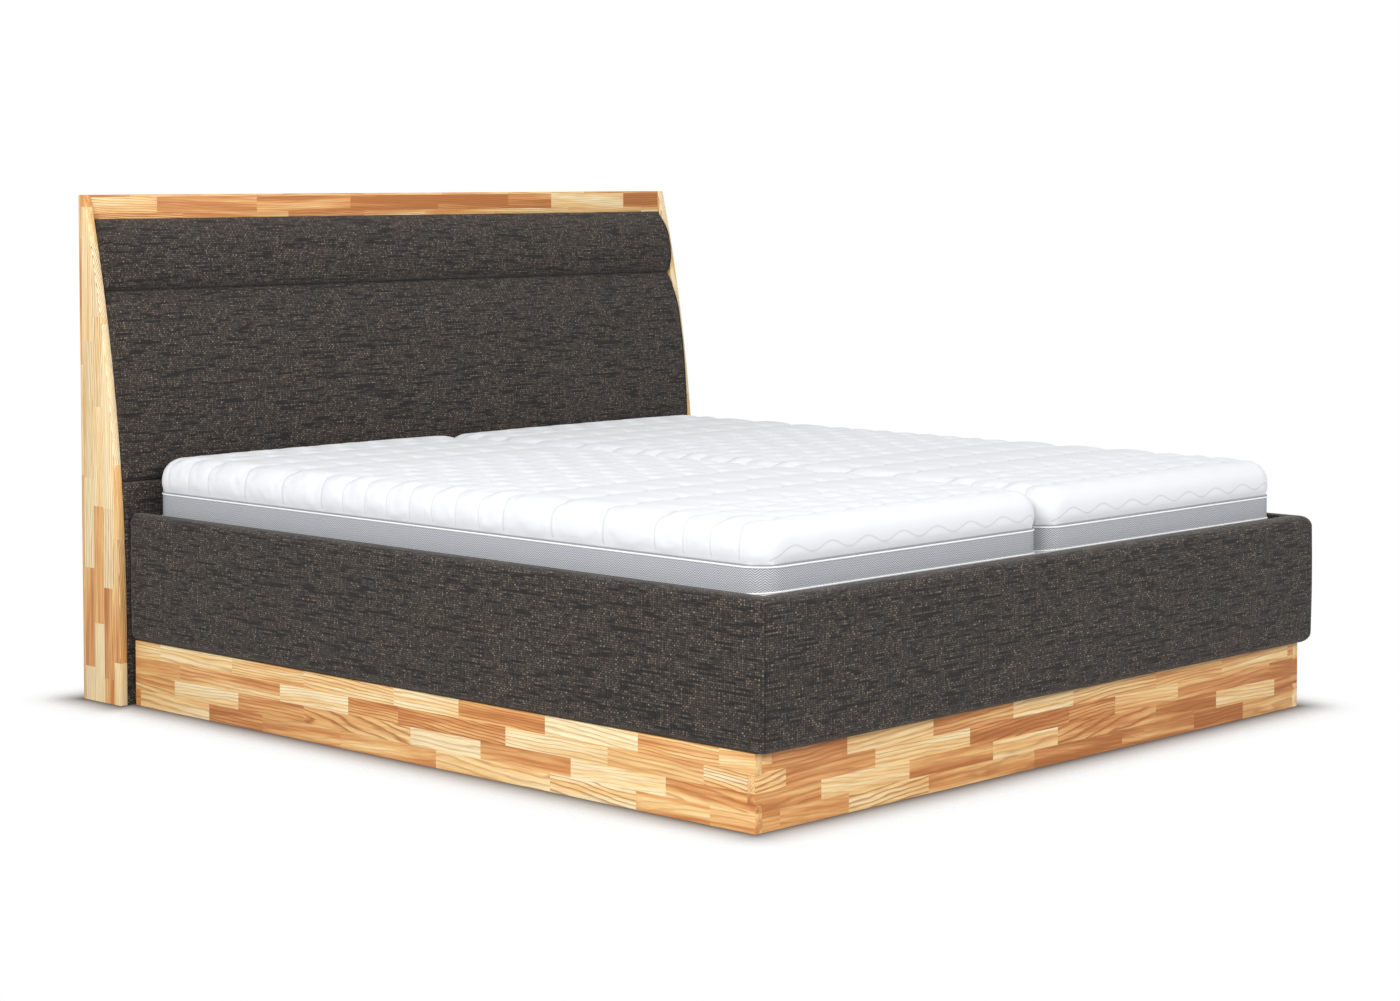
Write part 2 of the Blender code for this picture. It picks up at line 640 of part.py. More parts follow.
def make_frames(group, batten, slat_finish, steel):
    """Slatted frames: a rail frame with cross members, and the slats in two holder strips."""
    for side, sign in SIDES:
        low_x, high_x = sorted((sign * FRAME_INNER_X, sign * FRAME_OUTER_X))
        outer = rectangle((low_x, FRAME_FOOT_Y), (high_x, FRAME_HEAD_Y))
        loops = [outer]
        pitch = (FRAME_HEAD_Y - FRAME_FOOT_Y - FRAME_CROSS_WIDTH) / FRAME_FIELDS
        for field in range(FRAME_FIELDS):
            start = FRAME_FOOT_Y + FRAME_CROSS_WIDTH + field * pitch
            end = start + pitch - FRAME_CROSS_WIDTH
            loops.append(rectangle((low_x + FRAME_RAIL_WIDTH, start), (high_x - FRAME_RAIL_WIDTH, end)))
        name = "slat_frame_" + side
        middle_z = FRAME_BOTTOM + FRAME_RAIL_HEIGHT / 2
        mesh = outline_mesh(name, loops, FRAME_RAIL_HEIGHT, plan_view(middle_z))
        move_origin(add_piece(name, mesh, batten, group), LIFT_AXIS)
        loops = [outer]
        pitch = (FRAME_HEAD_Y - FRAME_FOOT_Y - SLAT_WIDTH) / (SLAT_COUNT - 1)
        for index in range(SLAT_COUNT - 1):
            start = FRAME_FOOT_Y + SLAT_WIDTH + index * pitch
            end = start + pitch - SLAT_WIDTH
            loops.append(rectangle((low_x + HOLDER_WIDTH, start), (high_x - HOLDER_WIDTH, end)))
        name = "slats_" + side
        mesh = outline_mesh(name, loops, SLAT_THICK, plan_view(SLAT_BOTTOM + SLAT_THICK / 2))
        move_origin(add_piece(name, mesh, slat_finish, group), LIFT_AXIS)
        name = "mattress_stop_" + side
        middle = (low_x + high_x) / 2
        near = FRAME_HEAD_Y + FIT_GAP
        low = (middle - STOP_WIDTH / 2, near, MATTRESS_BOTTOM - STOP_DROP)
        high = (middle + STOP_WIDTH / 2, near + STOP_THICK, MATTRESS_BOTTOM + STOP_RISE)
        move_origin(add_piece(name, box_mesh(name, low, high), steel, group), LIFT_AXIS)


def plan_normal(x, y, half_x, half_y, corner):
    """Outward direction in plan at a point near the edge of a round-cornered rectangle."""
    over_x = abs(x) - (half_x - corner)
    over_y = abs(y) - (half_y - corner)
    if over_x > 0.0 and over_y > 0.0:
        direction = Vector((math.copysign(over_x, x), math.copysign(over_y, y)))
        return direction.normalized()
    if over_x / corner > over_y / corner:
        return Vector((math.copysign(1.0, x), 0.0))
    return Vector((0.0, math.copysign(1.0, y)))


def quilt_height(column, row, share_x, share_y):
    """Height of the quilted top over its edge: crown, less the sewn lines and the tufts."""
    crown = MATTRESS_CROWN * (1 - share_x ** 4) * (1 - share_y ** 4)
    on_line = row % 2 == 1
    if not on_line:
        return crown
    tuft = (column + row // 2) % 2 == 0
    return crown - QUILT_DEPTH * (1.0 if tuft else SEWN_LINE_SHARE)


def mattress_mesh(name, middle_x):
    """Quilted mattress: a top grid with wavy sewn lines, rolled edges and swelling sides."""
    half_x = MATTRESS_WIDTH / 2 - MATTRESS_ROLL
    half_y = (MATTRESS_HEAD_Y - MATTRESS_FOOT_Y) / 2 - MATTRESS_ROLL
    middle_y = (MATTRESS_HEAD_Y + MATTRESS_FOOT_Y) / 2
    rows = 2 * WAVE_LINES
    corner = MATTRESS_CORNER - MATTRESS_ROLL
    shape = bmesh.new()
    bmesh.ops.create_grid(shape, x_segments=WAVE_COLUMNS, y_segments=rows, size=1.0)
    for vert in shape.verts:
        column = round((vert.co.x + 1) / 2 * WAVE_COLUMNS)
        row = round((vert.co.y + 1) / 2 * rows)
        height = quilt_height(column, row, vert.co.x, vert.co.y)
        wave = 0.0
        if row % 2 == 1:
            wave = WAVE_SWING * (1 if (column + row // 2) % 2 == 0 else -1)
        x = vert.co.x * half_x
        y = vert.co.y * half_y + wave
        if vert.is_boundary:
            normal = plan_normal(x, y, half_x, half_y, corner)
            if 0.0 < abs(normal.x) < 1.0:
                centre = Vector((math.copysign(half_x - corner, x), math.copysign(half_y - corner, y)))
                x, y = centre + normal * corner
        vert.co = Vector((x, y, MATTRESS_EDGE_Z + height))
    edge = [e for e in shape.edges if e.is_boundary]
    rings = [(MATTRESS_ROLL * out, MATTRESS_EDGE_Z - MATTRESS_ROLL * down) for out, down in ROLL_SHARES]
    rings.append((0.0, MATTRESS_BOTTOM))
    for outward, level in rings:
        made = bmesh.ops.extrude_edge_only(shape, edges=edge)["geom"]
        edge = [item for item in made if isinstance(item, bmesh.types.BMEdge)]
        for vert in {v for e in edge for v in e.verts}:
            normal = plan_normal(vert.co.x, vert.co.y, half_x, half_y, corner)
            vert.co.x += normal.x * outward
            vert.co.y += normal.y * outward
            vert.co.z = level
    bmesh.ops.contextual_create(shape, geom=edge)
    for vert in shape.verts:
        vert.co += Vector((middle_x, middle_y, 0.0))
    return mesh_from(name, shape)


def make_mattresses(group, ticking):
    for side, sign in SIDES:
        name = "mattress_" + side
        middle_x = sign * (MATTRESS_SPLIT_GAP + MATTRESS_WIDTH) / 2
        mattress = add_piece(name, mattress_mesh(name, middle_x), ticking, group)
        smooth(mattress)
        move_origin(mattress, LIFT_AXIS)


def turned(point, angle):
    """A side-view offset turned by an angle about +X."""
    y, z = point
    return (y * math.cos(angle) - z * math.sin(angle), y * math.sin(angle) + z * math.cos(angle))


def guide_centre(turn):
    """Where the guide pin stands when the rear link has turned by the given angle."""
    link_top = turned((0.0, LINK_LENGTH), turn)
    pin = turned((-GUIDE_REACH, -GUIDE_DROP), -TILT_PER_TURN * turn)
    return Vector((LINK_BASE_Y + link_top[0] + pin[0], LINK_BASE_Z + link_top[1] + pin[1]))


def slot_points():
    """Outline of the curved guide slot: the pin's path, half a slot width to each side."""
    half = GUIDE_PIN_RADIUS + RUNNING_GAP
    path = [guide_centre(LINK_TURN * k / GUIDE_STEPS) for k in range(GUIDE_STEPS + 1)]
    upper = []
    lower = []
    for index, point in enumerate(path):
        along = path[min(index + 1, GUIDE_STEPS)] - path[max(index - 1, 0)]
        across = Vector((-along.y, along.x)).normalized() * half
        upper.append(point + across)
        lower.append(point - across)
    ends = []
    for centre, first in ((path[-1], upper[-1]), (path[0], lower[0])):
        spoke = first - centre
        arc = []
        for step in range(1, ROUND_STEPS * 2):
            arc.append(centre + Vector(turned(spoke, -math.pi * step / (ROUND_STEPS * 2))))
        ends.append(arc)
    loop = upper + ends[0] + list(reversed(lower)) + ends[1]
    return [tuple(point) for point in loop]


def plate_points():
    corners = [
        (LINK_BASE_Y - LINK_LENGTH * toward_foot, LINK_BASE_Z + LINK_LENGTH * up)
        for toward_foot, up in PLATE_SHARES
    ]
    return rounded_points(corners, CORNER_ROUND)


def bar_points(start, end, radius):
    """A flat bar with round ends, between two pivots in the side view."""
    start = Vector(start)
    along = Vector(end) - start
    across = Vector((-along.y, along.x)).normalized() * radius
    points = []
    for centre, spoke in ((Vector(end), -across), (start, across)):
        for step in range(ROUND_SIDES // 2 + 1):
            points.append(tuple(centre + Vector(turned(spoke, math.pi * step / (ROUND_SIDES // 2)))))
    return points


def pin_piece(name, radius, centre, x_first, x_last):
    low, high = sorted((x_first, x_last))
    mesh = rod_mesh(name, radius, (low, *centre), (high, *centre))
    return bpy.data.objects.new(name, mesh)


def make_fitting(tag, wall_x, inward, group, cutters, steel, spring_finish, rod_finish):
    """One lift fitting against the wall at wall_x; inward is the side of the wall it stands on."""

    def at(depth):
        return wall_x + inward * depth

    link_base = (LINK_BASE_Y, LINK_BASE_Z)
    link_top = (LINK_BASE_Y, LINK_TOP_Z)
    hole = PIN_RADIUS + PIN_PLAY
    strut_far = STRUT_OFFSET + EYE_WIDTH / 2

    name = "base_plate_" + tag
    loops = [plate_points(), circle_points(link_base, hole), slot_points()]
    plate_middle = at(PLATE_DEPTH + PLATE_THICK / 2)
    plate = add_piece(name, outline_mesh(name, loops, PLATE_THICK, side_view(plate_middle)), steel, group)
    pin = pin_piece(name + "_pin", STRUT_PIN_RADIUS, STRUT_BASE, plate_middle, at(strut_far))
    boolean(plate, pin, "UNION", cutters)

    name = "rear_link_" + tag
    link_loops = [bar_points(link_base, link_top, LINK_END_RADIUS)]
    link_middle = at(LINK_DEPTH + LINK_THICK / 2)
    link = add_piece(name, outline_mesh(name, link_loops, LINK_THICK, side_view(link_middle)), steel, group)
    pin_wall = at(PLATE_DEPTH + FIT_GAP)
    lower = pin_piece(name + "_base_pin", PIN_RADIUS, link_base, pin_wall, link_middle)
    upper = pin_piece(name + "_top_pin", PIN_RADIUS, link_top, link_middle, at(FRAME_DEPTH))
    move_origin(link, (0.0, *link_base))
    boolean(link, lower, "UNION", cutters)
    boolean(link, upper, "UNION", cutters)

    name = "frame_arm_" + tag
    arm_low = (LINK_BASE_Y - ARM_FRONT_REACH, FRAME_BOTTOM - ARM_DROP)
    arm_high = (LINK_BASE_Y + ARM_BACK_REACH, FRAME_BOTTOM + ARM_RISE)
    arm_loops = [rounded_points(rectangle(arm_low, arm_high), CORNER_ROUND), circle_points(link_top, hole)]
    arm_middle = at(ARM_DEPTH + ARM_THICK / 2)
    arm = add_piece(name, outline_mesh(name, arm_loops, ARM_THICK, side_view(arm_middle)), steel, group)
    guide = pin_piece(name + "_guide_pin", GUIDE_PIN_RADIUS, GUIDE_START, pin_wall, arm_middle)
    strut_pin = pin_piece(name + "_strut_pin", STRUT_PIN_RADIUS, STRUT_TOP, arm_middle, at(strut_far))
    move_origin(arm, LIFT_AXIS)
    boolean(arm, guide, "UNION", cutters)
    boolean(arm, strut_pin, "UNION", cutters)

    make_strut(tag, at(STRUT_OFFSET), group, cutters, spring_finish, rod_finish)


def turned_piece(name, profile, finish, group):
    """A turned solid about its own Z axis from a profile of radius and height."""
    shape = bmesh.new()
    verts = [shape.verts.new((radius, 0.0, height)) for radius, height in profile]
    for first, second in zip(verts, verts[1:]):
        shape.edges.new((first, second))
    mesh = bpy.data.meshes.new(name)
    shape.to_mesh(mesh)
    shape.free()
    piece = add_piece(name, mesh, finish, group)
    screw = piece.modifiers.new("turned", "SCREW")
    screw.steps = ROUND_SIDES
    screw.render_steps = ROUND_SIDES
    screw.use_merge_vertices = True
    screw.merge_threshold = FIT_GAP / 10
    return piece


def make_strut(tag, x, group, cutters, spring_finish, rod_finish):
    """Gas spring from the base plate's pin to the frame arm's pin: cylinder and rod, each with an eye."""
    along = Vector(STRUT_TOP) - Vector(STRUT_BASE)
    turn = math.atan2(-along.x, along.y)
    inner = CYLINDER_RADIUS - CYLINDER_WALL
    mouth = CYLINDER_START + CYLINDER_LENGTH
    ring_start = mouth - GUIDE_RING_LENGTH
    ring_radius = CYLINDER_RADIUS - GUIDE_RING_WALL
    floor = CYLINDER_START + CYLINDER_BOTTOM
    cylinder_profile = [
        (0.0, floor), (inner, floor), (inner, ring_start), (ring_radius, ring_start), (ring_radius, mouth),
        (CYLINDER_RADIUS, mouth), (CYLINDER_RADIUS, CYLINDER_START), (NECK_RADIUS, CYLINDER_START),
        (NECK_RADIUS, 0.0), (0.0, 0.0),
    ]
    rod_profile = [
        (0.0, 0.0), (NECK_RADIUS, 0.0), (NECK_RADIUS, -CYLINDER_START), (ROD_RADIUS, -CYLINDER_START),
        (ROD_RADIUS, PISTON_LENGTH - ROD_LENGTH), (PISTON_RADIUS, PISTON_LENGTH - ROD_LENGTH),
        (PISTON_RADIUS, -ROD_LENGTH), (0.0, -ROD_LENGTH),
    ]
    ends = (
        ("gas_cylinder_" + tag, cylinder_profile, spring_finish, STRUT_BASE),
        ("gas_rod_" + tag, rod_profile, rod_finish, STRUT_TOP),
    )
    for name, profile, finish, pivot in ends:
        piece = turned_piece(name, profile, finish, group)
        piece.location = (x, *pivot)
        piece.rotation_euler = (turn, 0.0, 0.0)
        half = EYE_WIDTH / 2
        eye = pin_piece(name + "_eye", EYE_RADIUS, pivot, x - half, x + half)
        reach = half + CUT_OVERRUN
        bore = pin_piece(name + "_bore", STRUT_PIN_RADIUS + PIN_PLAY, pivot, x - reach, x + reach)
        boolean(piece, eye, "UNION", cutters)
        boolean(piece, bore, "DIFFERENCE", cutters)


def main():
    clear_scene()
    group = new_collection("storage_bed")
    cutters = new_collection("cutters")
    oak = finish_of("oiled_wood", (0.62, 0.36, 0.16), 0.45)
    board = finish_of("raw_board", (0.50, 0.38, 0.25), 0.7)
    batten = finish_of("spruce_batten", (0.66, 0.52, 0.34), 0.65)
    slat_finish = finish_of("beech_slat", (0.62, 0.45, 0.28), 0.5)
    fabric = finish_of("woven_upholstery", (0.062, 0.052, 0.045), 0.95)
    ticking = finish_of("mattress_ticking", (0.86, 0.87, 0.88), 0.9)
    steel = finish_of("zinc_plated_steel", (0.55, 0.55, 0.56), 0.35, 1.0)
    spring_finish = finish_of("painted_cylinder", (0.02, 0.02, 0.02), 0.4, 0.2)
    rod_finish = finish_of("ground_rod", (0.75, 0.75, 0.76), 0.15, 1.0)

    make_cheeks(group, oak)
    make_headboard_boards(group, oak, board)
    make_base_panel(group, fabric)
    make_pads(group, fabric)
    make_rails(group, fabric, board)
    make_plinth(group, oak)
    make_storage(group, board, batten)
    make_frames(group, batten, slat_finish, steel)
    make_mattresses(group, ticking)
    for side, sign in SIDES:
        finishes = (steel, spring_finish, rod_finish)
        make_fitting(side + "_outer", sign * RAIL_INNER_X, -sign, group, cutters, *finishes)
        make_fitting(side + "_inner", sign * CENTRE_BOARD_X, sign, group, cutters, *finishes)


main()
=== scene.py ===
import json
import math
from functools import partial

import bmesh
import bpy
import numpy as np
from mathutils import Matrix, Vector, noise

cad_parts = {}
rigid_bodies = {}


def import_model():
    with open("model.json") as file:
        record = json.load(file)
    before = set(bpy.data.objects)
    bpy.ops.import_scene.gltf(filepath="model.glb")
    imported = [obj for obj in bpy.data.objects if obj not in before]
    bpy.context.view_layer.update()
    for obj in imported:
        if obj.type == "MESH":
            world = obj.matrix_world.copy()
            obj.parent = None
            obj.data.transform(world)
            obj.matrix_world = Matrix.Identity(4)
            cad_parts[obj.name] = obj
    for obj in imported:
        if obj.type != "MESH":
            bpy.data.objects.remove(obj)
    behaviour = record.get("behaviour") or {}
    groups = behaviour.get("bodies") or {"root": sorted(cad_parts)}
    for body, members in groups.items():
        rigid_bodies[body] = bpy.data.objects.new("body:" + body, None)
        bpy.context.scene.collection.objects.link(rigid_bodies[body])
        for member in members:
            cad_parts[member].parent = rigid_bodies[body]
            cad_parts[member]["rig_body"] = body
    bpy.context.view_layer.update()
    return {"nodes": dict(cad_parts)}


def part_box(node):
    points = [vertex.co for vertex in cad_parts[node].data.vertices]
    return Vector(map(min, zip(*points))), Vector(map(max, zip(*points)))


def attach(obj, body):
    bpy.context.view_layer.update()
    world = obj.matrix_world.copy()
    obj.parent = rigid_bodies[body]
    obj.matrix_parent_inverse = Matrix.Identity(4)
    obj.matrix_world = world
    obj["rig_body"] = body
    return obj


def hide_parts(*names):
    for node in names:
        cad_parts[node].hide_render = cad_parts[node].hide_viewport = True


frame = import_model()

# Looks of the upholstered storage bed. Metres, in the packed model's frame: the foot end faces
# -Y, the headboard stands at +Y and the floor is at Z 0. Every piece takes its size and its
# place from the packed model's nodes.

bl_info = {
    "name": "Storage Bed Looks",
    "version": (1, 0, 0),
    "blender": (4, 5, 0),
    "location": "View3D > Sidebar > Storage Bed",
    "description": "Finishes, upholstery, mattresses and studio for a storage bed",
    "category": "Object",
}

MM = 0.001
SIDES = (("left", -1), ("right", 1))
NODES = frame["nodes"]

# Lamps: name, place and size. Their powers are in the studio's settings.
LAMPS = (
    ("key", (-5.4, -1.4, 3.5), 3.2), ("foot", (0.3, -6.4, 3.4), 3.2),
    ("top", (-0.2, 0.2, 5.0), 3.6), ("right", (5.0, 1.2, 3.0), 3.0),
)
LAMP_TARGET = (0.0, 0.0, 0.4)
WORLD_STRENGTH = 0.5
FLOOR_RADIUS = 7.0

# The photograph's camera looks from beyond the bed's left foot corner. It has upright lines all
# but parallel, so part of its downward look is a shift.
CAMERA_PLACE = (-5.1115, -4.9026, 1.2759)
CAMERA_TILT = 86.9
CAMERA_TURN = -46.269
CAMERA_LENS = 76.18
CAMERA_SHIFT = -0.12

# Width of the slatted frames' long members, the slats, and the holders at their ends
FRAME_RAIL_WIDTH = 25 * MM
SLAT_COUNT = 14
SLAT_WIDTH = 53 * MM
HOLDER_LENGTH = 34 * MM
HOLDER_INSET = 20 * MM
HOLDER_EDGE = 1.2 * MM

# Mesh cells of the pads and of the quilted covers
CELL = 7 * MM
QUILT_CELL = 10 * MM

# Pads: the groove of the boxed edge's seam, how round the ends are, the tucked hem round the
# face, and the slight swells of the stuffing
SEAM_GROOVE = 2 * MM
END_ROUNDNESS = 3.2
PAD_HEM = 9 * MM
PAD_TUCK = 5 * MM
PAD_SWELLS = 1.2 * MM

# Rail covers: the lip that turns in under the mattress edge, and the pocket for the rail's core
RAIL_LIP = 10 * MM
RAIL_LIP_EDGE = 6 * MM
RAIL_POCKET = 26.3 * MM
RAIL_BULGE = 1.2 * MM
SEAM_DRAW = 2.2 * MM
SEAM_REACH = 7 * MM
RAIL_CELL = 9 * MM
RAIL_GAP = 0.3 * MM
RAIL_SWELLS = 0.5 * MM

# Quilting channels from the foot to the head, over the unrolled cover: how many, and how wide
FIRST_SEWN_ROW = -1.184
CHANNELS = (
    (2, 105.0 * MM), (3, 76.3 * MM), (3, 151.0 * MM), (8, 75.25 * MM), (3, 139.7 * MM),
    (4, 76.5 * MM),
)
SEWN_ROWS = [FIRST_SEWN_ROW]
for channel_count, channel_width in CHANNELS:
    for _ in range(channel_count):
        SEWN_ROWS.append(SEWN_ROWS[-1] + channel_width)


def linear(code):
    """Scene-linear red, green and blue of an sRGB hex colour."""
    values = [int(code[k:k + 2], 16) / 255 for k in (1, 3, 5)]
    return tuple(v / 12.92 if v <= 0.04045 else ((v + 0.055) / 1.055) ** 2.4 for v in values)


def grey(value):
    return (value, value, value)


def colour_of(name, description, code):
    """A colour property that starts at an sRGB hex colour."""
    return bpy.props.FloatVectorProperty(
        name=name, description=description, subtype="COLOR", size=3, min=0.0, max=1.0,
        default=linear(code),
    )


def length_of(name, description, length):
    """A length property that starts at a length in metres."""
    return bpy.props.FloatProperty(
        name=name, description=description, unit="LENGTH", min=0.0, precision=4, default=length
    )


def power_of(name, description, watts):
    """A lamp's power property, in watts."""
    return bpy.props.FloatProperty(
        name=name, description=description, unit="POWER", min=0.0, default=watts
    )


class StaveLooks(bpy.types.PropertyGroup):
    """Oiled boards glued up from staves"""

    width: length_of("Stave width", "Width of one stave", 39.2 * MM)
    length: length_of("Stave length", "Mean length of a stave between butt joints", 0.27)
    ring_pitch: length_of("Ring pitch", "Distance between two growth rings", 3.6 * MM)
    sapwood: colour_of("Sapwood", "Palest staves", "#FFEDBE")
    cream: colour_of("Cream", "Pale staves", "#FBD99A")
    honey: colour_of("Honey", "Middle tone of the staves", "#F0BF7C")
    amber: colour_of("Amber", "Darker staves", "#DA985A")
    heartwood: colour_of("Heartwood", "Darkest staves", "#B8743A")
    latewood: colour_of("Latewood", "Dark line at the end of each growth ring", "#A05A24")


class ClothLooks(bpy.types.PropertyGroup):
    """Upholstery cloth of the headboard and the rails"""

    thread_pitch: length_of("Thread pitch", "Distance between two threads as drawn", 4.7 * MM)
    weft_dark: colour_of("Dark weft", "Darkest runs of the weft yarn", "#2C241F")
    weft_mid: colour_of("Middle weft", "Most of the weft yarn", "#53473E")
    weft_pale: colour_of("Pale weft", "Palest runs of the weft yarn", "#7E6F62")
    warp_dark: colour_of("Dark warp", "Darkest runs of the warp yarn", "#332A24")
    warp_mid: colour_of("Middle warp", "Most of the warp yarn", "#63564B")
    warp_pale: colour_of("Pale warp", "Palest runs of the warp yarn", "#9A8978")
    slub: colour_of("Slub", "Tint that darkens a thick place of the weft", "#5E5A57")
    # The gap's dark colour is painted shade between the threads.
    gap: colour_of("Gap", "Dark gap between the threads", "#120F0E")


class PadShapes(bpy.types.PropertyGroup):
    """Upholstered pads of the headboard, and the padded rails"""

    end_radius: length_of("End radius", "Length over which a pad rounds off at its ends", 17 * MM)
    end_drop: length_of("End drop", "Depth that a pad loses at its ends", 23 * MM)
    seam_inset: length_of("Seam inset", "Distance of the boxed edge's seam from the end", 14.5 * MM)
    seam_depth: length_of("Seam depth", "Depth of that seam", 1.6 * MM)
    bolster_rise: length_of("Bolster rise", "How far the bolster covers the top board", 5 * MM)
    rail_edge: length_of("Rail edge", "Radius of the rails' outer edges", 22 * MM)
    rail_end: length_of("Rail end", "Radius of the side rails' ends at the headboard", 18 * MM)


class MattressShapes(bpy.types.PropertyGroup):
    """Quilted mattresses with a mesh border"""

    zip_height: length_of("Zip height", "Height of the zip above the floor", 0.510)
    border_foot: length_of("Border foot", "Height of the mesh border's lower edge", 0.4565)
    roll: length_of("Roll", "Radius of the cover's upper edge", 50 * MM)
    corner: length_of("Corner", "Radius of the upright corners", 60 * MM)
    wave_period: length_of("Wave period", "Length of one wave of a sewn line", 0.110)
    wave_swing: length_of("Wave swing", "Height of a sewn line's wave to either side", 9 * MM)
    puff: length_of("Puff height", "Height of the quilting on the top", 7 * MM)
    side_puff: length_of("Side puff height", "Height of the quilting on the sides", 3 * MM)
    jersey: colour_of("Jersey", "Colour of the quilted cover", "#E3E4E7")
    thread: colour_of("Sewing thread", "Colour of the sewn lines", "#D0D3D6")
    mesh_dark: colour_of("Dark mesh", "Holes of the mesh border", "#84878D")
    mesh_mid: colour_of("Middle mesh", "Colour of the mesh border", "#A6A9AF")
    mesh_pale: colour_of("Pale mesh", "Ribs of the mesh border", "#CED1D6")


class StudioLooks(bpy.types.PropertyGroup):
    """Floor and lamps"""

    floor: colour_of("Floor", "Colour of the floor as the camera sees it", "#F2F2F2")
    bounce: colour_of("Bounce", "Colour of the floor as the bed sees it", "#C8C8C8")
    # The contact shadow is painted shade in the floor's colour.
    shadow: colour_of("Contact shadow", "Colour of the floor where the bed touches it", "#686868")
    key: power_of("Key lamp", "Large soft lamp on the left", 246.0)
    foot: power_of("Foot lamp", "Large soft lamp beyond the foot end", 200.0)
    top: power_of("Top lamp", "Soft lamp overhead", 14.0)
    right: power_of("Right lamp", "Soft lamp on the right", 22.0)


class StorageBedLooks(bpy.types.PropertyGroup):
    """All the looks of the storage bed"""

    staves: bpy.props.PointerProperty(type=StaveLooks, name="Oiled staves")
    cloth: bpy.props.PointerProperty(type=ClothLooks, name="Upholstery cloth")
    pads: bpy.props.PointerProperty(type=PadShapes, name="Pads and rails")
    mattress: bpy.props.PointerProperty(type=MattressShapes, name="Mattresses")
    studio: bpy.props.PointerProperty(type=StudioLooks, name="Studio")


def looks():
    return bpy.context.scene.storage_bed


def set_inputs(made, inputs):
    """Set a node's inputs: values as they are, and links from sockets or a node's own output."""
    for key, value in inputs.items():
        if isinstance(value, bpy.types.Node):
            value = next(socket for socket in value.outputs if socket.enabled)
        if isinstance(value, bpy.types.NodeSocket):
            made.id_data.links.new(value, made.inputs[key])
        else:
            made.inputs[key].default_value = value


def add_node(tree, kind, settings=(), inputs=(), stops=()):
    """Add a shader node with its settings, its inputs and a colour ramp's stops.

    One word as the settings is the node's operation. Inputs are named, or come in order."""
    made = tree.nodes.new("ShaderNode" + kind)
    if isinstance(settings, str):
        settings = {"operation": settings}
    for key, value in dict(settings).items():
        setattr(made, key, value)
    set_inputs(made, inputs if isinstance(inputs, dict) else dict(enumerate(inputs)))
    for index, (position, colour) in enumerate(stops):
        elements = made.color_ramp.elements
        if index < 2:
            elements[index].position = position
        element = elements[index] if index < 2 else elements.new(position)
        element.color = (*colour, 1.0)
    return made


def new_material(name, roughness, metallic=0.0):
    """A material, what adds nodes to it, and its shader with its constants set."""
    material = bpy.data.materials.new(name)
    material.use_nodes = True
    shader = material.node_tree.nodes["Principled BSDF"]
    set_inputs(shader, {"Roughness": roughness, "Metallic": metallic})
    return material, partial(add_node, material.node_tree), shader


def board_place(add, axes, shift=(0.0, 0.0, 0.0)):
    """Object coordinates turned so that the first runs along the wood."""
    place = add("TexCoord").outputs["Object"]
    split = add("SeparateXYZ", inputs=(place,))
    turned = add("CombineXYZ", inputs=[split.outputs[axis] for axis in axes])
    return add("VectorMath", "ADD", (turned, shift))


def stretched_noise(add, place, stretch, detail, roughness):
    """Noise with its own number of bumps to the metre, or to the thread, along each axis."""
    spot = add("VectorMath", "MULTIPLY", (place, stretch))
    return add(
        "TexNoise",
        inputs={"Vector": spot, "Scale": 1.0, "Detail": detail, "Roughness": roughness},
    )


# Core ash glued up from short staves 39 mm wide, planed and oiled. The eye sees blocks from pale
# sapwood to brown heartwood, some plain and some boldly figured, under a low satin sheen.
# Two odd numbers give every row of staves its own draws.
ROW_DRAWS = (0.0, 17.37, 31.71)
# How far a stave's draws move it in the log, in metres along and across, and the range of its
# slope to the log's axis
LOG_REACH = (6.0, 0.17, 0.12)
SAW_SLOPE = 0.07
# Bumps to the metre, along and across the wood: slow bends, fibres and streaks of tone
BENDS = (3.4, 18.0, 18.0)
FIBRES = (12.0, 420.0, 420.0)
STREAKS = (1.8, 46.0, 46.0)
BEND_REACH = 13 * MM
# The Wave texture turns 20 radians to the unit
WAVE_RADIANS = 20.0
RING_TONES = ((0.0, 0.0), (0.5, 0.06), (0.8, 1.0), (0.9, 0.8), (1.0, 0.0))


